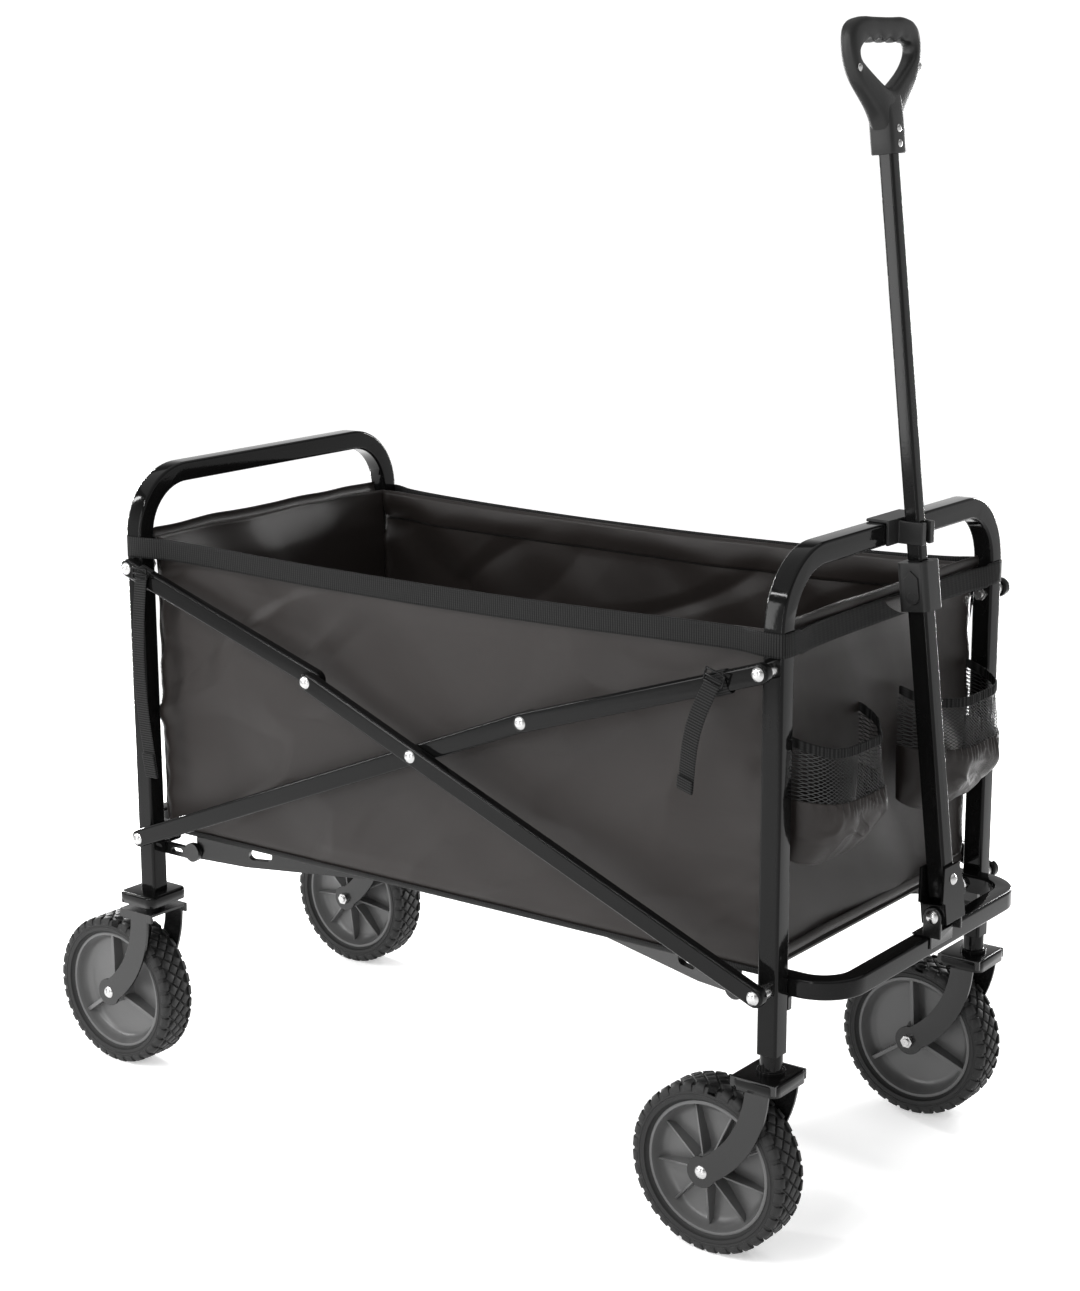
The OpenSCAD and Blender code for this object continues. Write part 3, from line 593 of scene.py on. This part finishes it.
def weave_height(lead, pitch):
    """Height of a plain weave with threads `pitch` metres apart, on the cloth's UV map."""
    flat = lead.node("UVMap", {"uv_map": "weave"}, {})
    along = lead.node("SeparateXYZ", {}, {0: flat})
    across = lead.node("SeparateXYZ", {}, {0: flat}, 1)
    warp = (along * (tau / pitch)).math("SINE")
    weft = (across * (tau / pitch)).math("SINE")
    return warp * weft * 0.5 + 0.5


def polyester(lead):
    flat = lead.node("UVMap", {"uv_map": "weave"}, {})
    shade = speckle(lead, 7, 4)
    slubs = lead.node("Mapping", {}, {"Vector": flat, "Scale": (30, 900, 1)})
    slub = speckle(lead, 1.0, 2, slubs)
    return {
        "Base Color": (shade * 0.6 + slub * 0.4).blend(
            (0.0078, 0.0060, 0.0054, 1), (0.0175, 0.0142, 0.0130, 1)
        ),
        "Roughness": shade * 0.10 + 0.34,
        "Specular IOR Level": 0.24,
        "Sheen Weight": 0.03,
        "Sheen Roughness": 0.4,
        "Normal": relief(lead, weave_height(lead, 0.0011) + slub * 0.6, 0.00020, 0.45),
    }


tub_cloth = coating("coated_polyester", polyester)
RIB_PITCH = 0.0027
CORD_PITCH = 0.0024


def webbing(lead):
    flat = lead.node("UVMap", {"uv_map": "weave"}, {})
    along = lead.node("SeparateXYZ", {}, {0: flat})
    across = lead.node("SeparateXYZ", {}, {0: flat}, 1)
    ribs = (along * (tau / RIB_PITCH)).math("SINE") * 0.5 + 0.5
    cords = (across * (tau / CORD_PITCH)).math("SINE") * 0.5 + 0.5
    fuzz = speckle(lead, 900, 3)
    height = ribs * 0.65 + ribs * cords * 0.35 + fuzz * 0.25
    return {
        # The base colour follows the weave's height: painted shade darkens the grooves between the ribs
        # and a painted highlight lightens the rib tops; the fuzz adds random tone.
        "Base Color": height.blend(grey(0.0010), grey(0.021)),
        "Roughness": fuzz * 0.2 + 0.60,
        "Specular IOR Level": 0.10,
        "Normal": relief(lead, height, 0.0005, 0.6),
    }


black_webbing = coating("ribbed_webbing", webbing)
side_low, side_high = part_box("tub_sides")
wall_low, wall_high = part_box("front_wall")
rear_wall_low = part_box("rear_wall")[0]


def fold_noise(x, y, z=0.0):
    return noise.noise(Vector((x, y, z)))


side_half = side_high.y - 0.001
side_length = side_high.x - side_low.x
side_rise = side_high.z - side_low.z - 0.001
corner_r = 0.016
sheet_half = side_half + side_rise - 2 * corner_r + corner_r * pi / 2


def side_section(run):
    """Half the tub's section at a run from the middle of the floor: how far out, how far up, and
    the outward normal's sideways share."""
    floor_run = side_half - corner_r
    bend_run = corner_r * pi / 2
    if run < floor_run:
        return run, 0, 0
    if run < floor_run + bend_run:
        turn = (run - floor_run) / corner_r
        return floor_run + corner_r * sin(turn), corner_r * (1 - cos(turn)), sin(turn)
    return side_half, run - floor_run - bend_run + corner_r, 1


def side_point(u, v):
    out, up, normal_out = side_section(abs(v))
    hand = 1 if v > 0 else -1
    share = u / side_length + 0.5
    x = side_low.x - 0.004 + share * (side_length + 0.008)
    rise = min(up / side_rise, 1)
    ends = min(share, 1 - share) * side_length
    bulge = 0.004 * sin(pi * rise) * min(1, ends / 0.12)
    puckers = sin(pi * rise) * max(0, 1 - ends / 0.09) ** 1.6
    pucker = 0.0075 * puckers * fold_noise(9 * ends, 34 * up, 3 * hand)
    slow = 0.0125 * fold_noise(4.6 * x + 3 * up, 3.0 * up - 2.2 * x, 5 * hand)
    drape = 0.0075 * fold_noise(10 * x + 9 * up, 2.0 * up, 9 + hand) * (0.4 + rise)
    crease = 0.0042 * max(0, 1 - abs(fold_noise(4.4 * x - 8 * up, 2 * x + 2 * up, 21 * hand)) * 6)
    folds = slow * sin(pi * min(1, rise * 0.92 + 0.08)) + pucker + drape + crease
    held = min(1, up / 0.03, (1 - rise) / 0.13)
    lift = min(bulge + folds, 0.0085) * held - 0.0035 * max(0, 1 - ends / 0.012) ** 2
    sag = 0.007 * max(0, rise - 0.7) / 0.3 * sin(pi * share) if up > 0 else 0
    return Vector((
        x, hand * (out + normal_out * (lift - 0.004)), side_low.z + 0.001 + up - sag
    ))


floor_half = side_half - corner_r
side_height = sheet_half - floor_half
CASING_HEIGHT = 0.034
BINDING_HEIGHT = 0.012
trim_length = side_length - 0.004
for side, hand in (("right", -1), ("left", 1)):
    replaced = ("tub_sides",) if side == "right" else ()

    def side_place(u, v):
        return side_point(u, hand * (floor_half + side_height / 2 + v))

    wall = cloth("side_cloth_" + side, side_length, side_height, 220, 100, side_place, "front_frame",
                 tub_cloth, "tub_fabric", *replaced)
    thicken(wall, 0.0014, 0)

    def casing_place(u, v):
        share = v / CASING_HEIGHT + 0.5
        place = side_point(u, hand * (sheet_half - CASING_HEIGHT + v + 0.016))
        return place - Vector((0, hand * (0.0016 + 0.0028 * sin(pi * share)), 0))

    casing = cloth("rim_casing_" + side, trim_length, CASING_HEIGHT, 180, 8, casing_place,
                   "front_frame", tub_cloth, "tub_fabric")
    thicken(casing, 0.0012, 0)

    def binding_place(u, v):
        place = side_point(u, hand * (floor_half + BINDING_HEIGHT + v))
        return place + Vector((0, hand * 0.0016, -0.0016))

    binding = cloth("bottom_binding_" + side, trim_length, BINDING_HEIGHT, 180, 4, binding_place,
                    "front_frame", black_webbing, "webbing")
    thicken(binding, 0.0016, 0)
    for piece, height in ((wall, side_height), (casing, CASING_HEIGHT), (binding, BINDING_HEIGHT)):
        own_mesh(piece)

FLOOR_INSET = 0.028
split = middle - 0.063
floor_spans = (
    ("front", split + 0.001, x_front - FLOOR_INSET), ("rear", x_rear + FLOOR_INSET, split - 0.001)
)
for end, start, stop in floor_spans:

    def floor_place(u, v):
        ripple = 0.0008 * fold_noise(9 * (u + start), 9 * v, 4)
        return Vector(((start + stop) / 2 + u, v, side_low.z + 0.0022 + ripple))

    piece = cloth("floor_cloth_" + end, stop - start, 2 * floor_half, 70, 60, floor_place,
                  "floor_" + end, tub_cloth, "tub_fabric")
    thicken(piece, 0.0014, 0)
    stop - start
    "floor_legs_" + end


def end_wall(name, node, body, face, forward):
    """An end wall behind the posts. Its top edge is drawn out towards the webbing."""
    low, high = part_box(node)
    width, height = high.y - low.y - 0.002, high.z - low.z

    def place(u, v):
        rise = v / height + 0.5
        edge = 1 - abs(2 * u / width) ** 6
        slow = 0.011 * fold_noise(6 * u + 2 * v, 4 * v, 3 + forward) * edge
        drape = 0.008 * fold_noise(12 * u + 7 * v, 3 * v, 8 + forward) * edge
        pucker = 0.003 * (1 - edge) * fold_noise(2, 40 * v, u)
        tip = max(0, rise - 0.86) / 0.14
        drawn = 0.0095 * tip * tip * (3 - 2 * tip) * edge
        out = slow + drape + pucker + drawn - 0.0015
        return Vector((face + forward * out, u, low.z + rise * height))

    piece = cloth(name, width, height, 110, 90, place, body, tub_cloth, "tub_fabric", node)
    thicken(piece, 0.0014, 0)


end_wall("front_wall_cloth", "front_wall", "front_frame", wall_high.x, 1)
end_wall("rear_wall_cloth", "rear_wall", "rear_frame", rear_wall_low.x, -1)


def edge_roll(name, node, body, face, forward, height, rise, stand):
    """A narrow doubled strip of the tub's cloth sewn along an end wall."""
    low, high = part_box(node)
    width = high.y - low.y - 0.012

    def place(u, v):
        turn = v / height * pi
        wander = 0.0012 * fold_noise(16 * u, 3, rise)
        return Vector((
            face + forward * (stand + 0.0026 * cos(turn) + wander), u,
            low.z + rise + 0.5 * height * sin(turn) + 1.5 * wander,
        ))

    roll = cloth(name, width, height, 80, 8, place, body, tub_cloth, "tub_fabric")
    thicken(roll, 0.0012)


wall_rise = wall_high.z - wall_low.z
edge_roll("front_hem", "front_wall", "front_frame", wall_high.x, 1, 0.012, wall_rise + 0.004, 0.0075)
edge_roll("rear_hem", "rear_wall", "rear_frame", rear_wall_low.x, -1, 0.012, wall_rise + 0.004, 0.0075)
edge_roll("front_piping", "front_wall", "front_frame", wall_high.x, 1, 0.010, 0.006, 0.0)
edge_roll("rear_piping", "rear_wall", "rear_frame", rear_wall_low.x, -1, 0.010, 0.006, 0.0)

# ---- Rim webbing ----------------------------------------------------------------------------
# Black ribbed webbing sewn round the tub's rim, outside the posts. It is one closed loop that
# sags a little along the sides.


band_low, band_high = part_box("rim_band")
band_gap = 0.0013
band_x = band_high.x - 0.001 - x_front
band_y = band_high.y - 0.001
side_band_y = side_high.y + band_gap


def band_corners():
    """The band's route over the +X +Y quarter, as points from the side's middle to the front's."""
    half = (x_front - x_rear) / 2
    out_x = half + band_x
    return [
        (0, side_band_y), (half - 0.055, side_band_y), (half - tube * 0.7, band_y - 0.001),
        (half + tube * 0.3, band_y), (out_x, band_y - 0.003), (out_x, band_y - tube * 0.8),
        (out_x - 0.001, post_y - tube * 0.7), (out_x - 0.0095, post_y - 0.06), (out_x - 0.0115, 0),
    ]


def smooth_route(points, rounds=3):
    """Cuts the corners of a closed route a few times."""
    for _ in range(rounds):
        cut = []
        for i, (x, y) in enumerate(points):
            px, py = points[i - 1]
            cut.append((0.75 * px + 0.25 * x, 0.75 * py + 0.25 * y))
            cut.append((0.25 * px + 0.75 * x, 0.25 * py + 0.75 * y))
        points = cut
    return points


def even_route(points, count):
    """The same closed route as `count` + 1 evenly spaced points, and its length."""
    points = points + points[:1]
    steps = [hypot(b[0] - a[0], b[1] - a[1]) for a, b in zip(points, points[1:])]
    total, out, i, passed = sum(steps), [], 0, 0.0
    for k in range(count + 1):
        want = total * k / count
        while i < len(steps) - 1 and passed + steps[i] < want:
            passed += steps[i]
            i += 1
        t = min(1, (want - passed) / max(steps[i], 1e-9))
        out.append(tuple(a + (b - a) * t for a, b in zip(points[i], points[i + 1])))
    return out, total


quarter = band_corners()
loop = quarter + [(x, -y) for x, y in reversed(quarter[:-1])]
loop += [(-x, -y) for x, y in quarter[1:]] + [(-x, y) for x, y in reversed(quarter[1:-1])]
BAND_CELLS = 520
route, band_length = even_route(smooth_route(loop), BAND_CELLS)
band_height = band_high.z - band_low.z


def band_point(u, v):
    i = round((u / band_length + 0.5) * BAND_CELLS)
    x, y = route[i]
    near = min(1, abs(abs(x) - (x_front - x_rear) / 2) / 0.12)
    ripple = 0.0012 * near * fold_noise(7 * x, 9 * y, 4)
    sag = 0.008 * max(0, 1 - (2.1 * x / (x_front - x_rear)) ** 2) if abs(y) > post_y - 0.02 else 0.002
    roll = 1 + 0.004 * near * v / band_height * (1 if abs(y) > 0.1 else 0)
    return Vector((
        middle + x, y * roll + (ripple if y > 0 else -ripple),
        (band_low.z + band_high.z) / 2 + v - sag,
    ))


band = cloth("rim_webbing", band_length, band_height, BAND_CELLS, 8, band_point, "front_frame",
             black_webbing, "webbing", "rim_band")
thicken(band, 0.0016, 0)
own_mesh(band)

# ---- Net pockets ----------------------------------------------------------------------------
# Two bottle pockets sewn to the front wall. The lower half is gathered tub cloth, the upper half
# is open diamond net, and an elastic binding runs round the mouth.


def net(lead):
    flat = lead.node("UVMap", {"uv_map": "weave"}, {})
    across = lead.node("SeparateXYZ", {}, {0: flat})
    up = lead.node("SeparateXYZ", {}, {0: flat}, 1)
    pitch = 0.0058
    rising = (across + up * 1.25) * (1 / pitch)
    falling = (across - up * 1.25) * (1 / pitch)
    line_a = rising.math("PINGPONG", 0.5)
    line_b = falling.math("PINGPONG", 0.5)
    nearest = line_a.math("MINIMUM", line_b)
    strand = nearest.math("LESS_THAN", 0.125)
    return {
        # Each strand is painted lighter along its middle and darker towards its edges: painted shading
        # of the round thread.
        "Base Color": (nearest * 4).blend(grey(0.010), grey(0.002)),
        "Roughness": 0.5 + nearest * 0.4,
        "Alpha": strand,
        "Normal": relief(lead, 1 - nearest * 5, 0.0005, 0.6),
    }


pocket_net = coating("pocket_net", net)
pocket_seam = 0.50
for side in ("right", "left"):
    low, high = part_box("pocket_" + side)
    hand = 1 if side == "left" else -1
    mid_y, half_w = (low.y + high.y) / 2, (high.y - low.y) / 2 - 0.001
    depth, height = high.x - wall_high.x - 0.003, high.z - low.z
    wall_x = wall_high.x + 0.0015

    def pocket_point(u, rise, swell=0.0):
        """A point of the pocket's front, at u from -1 to 1 across and a rise from 0 to 1."""
        outboard = min(1, max(0, (hand * (mid_y + u * half_w) - 0.060) / 0.030))
        reach = depth + 0.013 * outboard * outboard * (3 - 2 * outboard)
        bow = max(0, 1 - abs(u) ** 4.5) ** 0.55
        belly = 0.45 + 0.55 * sin(min(1, rise * 2.2) * pi / 2)
        belly *= 1 - 0.10 * max(0, rise - 0.5) * 2
        under = 0.014 * (1 - bow) * (1 - rise) ** 2
        droop = 0.016 * bow * max(0, rise - 0.45) / 0.55
        return Vector((
            wall_x + reach * bow * belly + swell * bow,
            mid_y + u * half_w * (0.975 + 0.025 * sin(pi * rise)),
            low.z + 0.003 + under + rise * height * 1.07 - droop,
        ))

    flat_w, net_h, cloth_h = 2.5 * half_w, 0.56 * height, 0.58 * height

    def net_part(u, v):
        rise = pocket_seam + (v / net_h + 0.5) * (1 - pocket_seam)
        across = 2 * u / flat_w
        return pocket_point(across, rise, 0.0012 * fold_noise(30 * across, 9 * rise, 2))

    piece = cloth("pocket_net_" + side, flat_w, net_h, 72, 24, net_part,
                  "front_frame", pocket_net, "pocket_mesh", "pocket_" + side)

    def cloth_part(u, v):
        part = v / cloth_h + 0.5
        across = 2 * u / flat_w
        gathers = max(0, part - 0.72) / 0.28
        ruffle = 0.0013 * gathers * sin(across * 74 + 5 * fold_noise(5 * across, 0, 3))
        folds = 0.0050 * fold_noise(3.2 * across, 2.6 * part + 2 * across, 7 + 4 * hand)
        sharp = 0.0022 * max(0, 1 - 7 * abs(fold_noise(2.6 * across + 2 * part, 2 * part, 5 * hand)))
        fullness = 0.003 * sin(pi * part) + (folds + sharp) * sin(pi * min(1, part * 0.8 + 0.15))
        return pocket_point(across, part * (pocket_seam + 0.02), ruffle + fullness)

    piece = cloth("pocket_cloth_" + side, flat_w, cloth_h, 140, 44, cloth_part, "front_frame",
                  tub_cloth, "tub_fabric")
    thicken(piece, 0.0012, 0)

    def binding_part(u, v):
        across = 2 * u / flat_w
        gather = 0.0008 * sin(across * 90)
        return pocket_point(across, 0.985, 0.0012 + gather) + Vector((0, 0, v))

    piece = cloth("pocket_binding_" + side, flat_w, 0.010, 140, 4, binding_part, "front_frame",
                  black_webbing, "webbing")
    thicken(piece, 0.0022)

# ---- Floor boards ---------------------------------------------------------------------------
# Two stiff boards in sewn cloth covers, one on each pair of floor legs, with rounded edges and a
# soft face. They lap at the middle of the floor.
for end in ("front", "rear"):
    node = "floor_board_" + end
    low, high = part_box(node)
    shape = bmesh.new()
    bmesh.ops.create_cube(shape, size=1)
    bmesh.ops.scale(shape, verts=shape.verts, vec=high - low)
    bmesh.ops.subdivide_edges(
        shape, edges=[e for e in shape.edges if abs(e.verts[0].co.z - e.verts[1].co.z) < 1e-6],
        cuts=36, use_grid_fill=True,
    )
    for vert in shape.verts:
        wide = 1 - abs(vert.co.y) / ((high.y - low.y) / 2)
        long = 1 - abs(vert.co.x) / ((high.x - low.x) / 2)
        edge = min(1, wide * 9, long * 9)
        swell = 1 - 0.45 * (1 - edge) ** 2
        vert.co.z *= swell
    bmesh.ops.translate(shape, verts=shape.verts, vec=(low + high) / 2)
    board = show("board_cover_" + end, shape, body_of[node], tub_cloth, "tub_fabric", node)

# ---- Corner straps --------------------------------------------------------------------------
# Short webbing straps looped round the upper links to hold the tub's corners, each with a loose
# tail that is folded back and sewn at its end, and a wire slide that takes up the slack.
joint_of = {joint["name"]: joint for joint in frame["record"]["behaviour"]["joints"]}


def strap(name, points, across, width, body, *nodes):
    """A flat strap of the given width along a route of points, with its face square to it."""
    steps = [(b - a).length for a, b in zip(points, points[1:])]
    total = sum(steps)

    def place(u, v):
        want, i = u + total / 2, 0
        while i < len(steps) - 1 and want > steps[i]:
            want -= steps[i]
            i += 1
        return points[i].lerp(points[i + 1], min(1, max(0, want / steps[i]))) + across * v

    piece = cloth(name, total, width, max(12, round(total / 0.003)), 6, place, body,
                  black_webbing, "webbing", *nodes)
    thicken(piece, 0.0014)
    return piece, (total, width)


def wire_slide(name, centre, across, upward, outward, body):
    """A three-bar slide bent from wire, on the strap's face."""
    shape = bmesh.new()
    for place, size in (
        ((0, 0.006, 0), (0.023, 0.002, 0.002)), ((0, 0, 0), (0.023, 0.002, 0.002)),
        ((0, -0.006, 0), (0.023, 0.002, 0.002)), ((0.0105, 0, 0), (0.002, 0.014, 0.002)),
        ((-0.0105, 0, 0), (0.002, 0.014, 0.002)),
    ):
        bar = bmesh.ops.create_cube(shape, size=1)["verts"]
        bmesh.ops.scale(shape, verts=bar, vec=size)
        bmesh.ops.translate(shape, verts=bar, vec=place)
    bevel_edges(shape, shape.edges[:], 0.0007, 3)
    turn = Matrix((across, upward, outward)).transposed()
    bmesh.ops.transform(shape, matrix=turn.to_4x4(), verts=shape.verts)
    bmesh.ops.translate(shape, verts=shape.verts, vec=centre)
    bmesh.ops.recalc_face_normals(shape, faces=shape.faces)
    show(name, shape, body, gloss_black, "painted_steel")


STRAP_WIDTH = 0.018
for end, along, drop, lean_back in (("front", 0.044, 0.116, 0.034), ("rear", 0.026, 0.230, 0.006)):
    for side in ("right", "left"):
        link = "link_" + end + "_" + side
        hand = 1 if side == "left" else -1
        pin = Vector(joint_of[link + "_turn"]["pos_m"])
        link_low, link_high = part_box(link)
        far = Vector((link_low.x if end == "front" else link_high.x, 0, link_low.z))
        run = Vector((far.x - pin.x, 0, far.z - pin.z)).normalized()
        crown = Vector((0, hand, 0)).cross(run).normalized()
        crown = crown if crown.z > 0 else -crown
        centre = Vector((pin.x, (link_low.y + link_high.y) / 2, pin.z)) + run * along
        half_h, half_t = 0.0116, (link_high.y - link_low.y) / 2 + 0.0014
        section = [(half_t, half_h), (half_t, -half_h), (-half_t, -half_h), (-half_t, half_h)]
        ring = even_route(smooth_route(section), 40)[0]
        loop_points = [centre + Vector((0, y, 0)) + crown * n for y, n in ring]
        piece, cut_size = strap(
            "strap_loop_" + end + "_" + side, loop_points, run, STRAP_WIDTH, link
        )

        outside = Vector((0, hand, 0))
        top = centre + outside * (half_t + 0.002) + crown * 0.006
        back = Vector((-lean_back / drop if end == "front" else lean_back / drop, 0, -1)).normalized()
        face = back.cross(outside).normalized()
        tail_points = [
            top + back * (drop * t) + outside * (0.006 * sin(pi * t) + 0.003 * t)
            + face * (0.004 * sin(4 * t)) for t in [i / 24 for i in range(25)]
        ]
        tail_points += [tail_points[-1] + outside * 0.0022, tail_points[-4] + outside * 0.0026]
        replaced = (end + "_straps",) if side == "right" else ()
        piece, cut_size = strap(
            "strap_tail_" + end + "_" + side, tail_points, face, STRAP_WIDTH, link, *replaced
        )
        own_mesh(piece)
        wire_slide("strap_slide_" + end + "_" + side, top + outside * 0.0022 - back * 0.001, face, -back,
                   outside, link)

# ---- Handle ---------------------------------------------------------------------------------
# Two square tubes that slide in each other, in the hoops' powder coat. A plastic collar holds
# the push button, and a plastic clip on the front rail parks the handle.


def satin_plastic(lead):
    texture = speckle(lead, 520, 3)
    wear = speckle(lead, 12, 5)
    return {
        "Base Color": wear.blend(grey(0.008), grey(0.014)),
        "Roughness": wear * 0.15 + 0.36,
        "Specular IOR Level": 0.25,
        "Normal": relief(lead, texture, 0.00022, 0.45),
    }


black_plastic = coating("satin_black_plastic", satin_plastic)
dress("outer_tube", gloss_black, 0.0004)
dress("inner_tube", gloss_black, 0.0004)
dress("collar", black_plastic, 0.0012, 3)
dress("push_button", black_plastic, 0.0007, 3)
dress("handle_clip", black_plastic, 0.0009, 3)

# ---- Grip -----------------------------------------------------------------------------------
# A hollow D of moulded plastic, with four finger scallops under its top bar. Its foot narrows to
# a square socket that takes the inner tube and is held by two rivets.
pitch_low, pitch_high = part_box("handle_pitch_bolt")
pitch_bolt = (pitch_low + pitch_high) / 2
pitch_bolt.y = 0
stem_up = -Vector(joint_of["telescope"]["axis"])
stem_forward = Vector((stem_up.z, 0, -stem_up.x))
grip_heights = [(v.co - pitch_bolt).dot(stem_up) for v in frame["nodes"]["grip"].data.vertices]
grip_foot = min(grip_heights)
grip_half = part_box("grip")[1].y


def on_grip(forward, sideways, rise):
    place = pitch_bolt + stem_up * (grip_foot + rise) + stem_forward * forward
    return place + Vector((0, sideways, 0))


def rounded_share(angle, squareness):
    value = cos(angle)
    return abs(value) ** squareness * (1 if value > 0 else -1)


outer_half = [(0, 0.010), (0.13, 0.012), (0.22, 0.022), (0.34, 0.036), (0.56, 0.050), (0.80, 0.064),
              (0.97, 0.083), (1.02, 0.104), (0.93, 0.122), (0.60, 0.1275), (0.25, 0.1265)]
inner_half = [(0, 0.061), (0.16, 0.064), (0.50, 0.077), (0.76, 0.089), (0.80, 0.097), (0.74, 0.1035),
              (0.40, 0.1030), (0.15, 0.1030)]


def mirrored_route(half, count):
    whole = [(y * grip_half, z) for y, z in half]
    whole += [(-y, z) for y, z in reversed(whole[1:])]
    return even_route(smooth_route(whole), count)[0]


RING, SECTION = 128, 20
outer_ring, inner_ring = mirrored_route(outer_half, RING), mirrored_route(inner_half, RING)


def wrapped(shape, rows, columns, place):
    """Rolls a grid into a tube or a ring: place(i, j) gives each point."""
    made = bmesh.ops.create_grid(shape, x_segments=rows, y_segments=columns, size=0.5)["verts"]
    for vert in made:
        vert.co = place(round((vert.co.x + 0.5) * rows), round((vert.co.y + 0.5) * columns))


def loop_place(i, j):
    (oy, oz), (iy, iz) = outer_ring[i % RING], inner_ring[i % RING]
    if iz > 0.0985 and abs(iy) < 0.040:
        iz += 0.0034 * sin(pi * (iy + 0.040) / 0.020) ** 2
    turn = tau * (j % SECTION) / SECTION
    share, depth = rounded_share(turn, 0.62), rounded_share(turn - pi / 2, 0.62)
    low_down = max(0, 1 - (oz - 0.010) / 0.050)
    thick = 0.0085 + 0.0030 * low_down
    return on_grip(
        thick * depth, (oy + iy) / 2 + (oy - iy) / 2 * share, (oz + iz) / 2 + (oz - iz) / 2 * share
    )


grip_loop = bmesh.new()
wrapped(grip_loop, RING, SECTION, loop_place)
bmesh.ops.remove_doubles(grip_loop, verts=grip_loop.verts, dist=1e-5)
bmesh.ops.recalc_face_normals(grip_loop, faces=grip_loop.faces)
SOCKET = [(0.0004, 0.88), (0.0, 0.97), (0.0012, 1.0), (0.012, 1.0), (0.024, 1.0), (0.032, 1.01),
          (0.040, 1.06), (0.048, 1.16), (0.054, 1.22)]


def socket_place(i, j):
    rise, spread = SOCKET[i]
    turn = tau * (j % 32) / 32
    depth = 0.013 * min(spread, 2.0 - spread)
    return on_grip(
        depth * rounded_share(turn, 0.35), 0.0148 * spread * rounded_share(turn - pi / 2, 0.35), rise
    )


grip_socket = bmesh.new()
wrapped(grip_socket, len(SOCKET) - 1, 32, socket_place)
bmesh.ops.remove_doubles(grip_socket, verts=grip_socket.verts, dist=1e-5)
bmesh.ops.holes_fill(grip_socket, edges=[e for e in grip_socket.edges if e.is_boundary])
bmesh.ops.recalc_face_normals(grip_socket, faces=grip_socket.faces)
show("grip_moulding", merged([grip_loop, grip_socket]), body_of["grip"], black_plastic,
     "black_plastic", "grip")
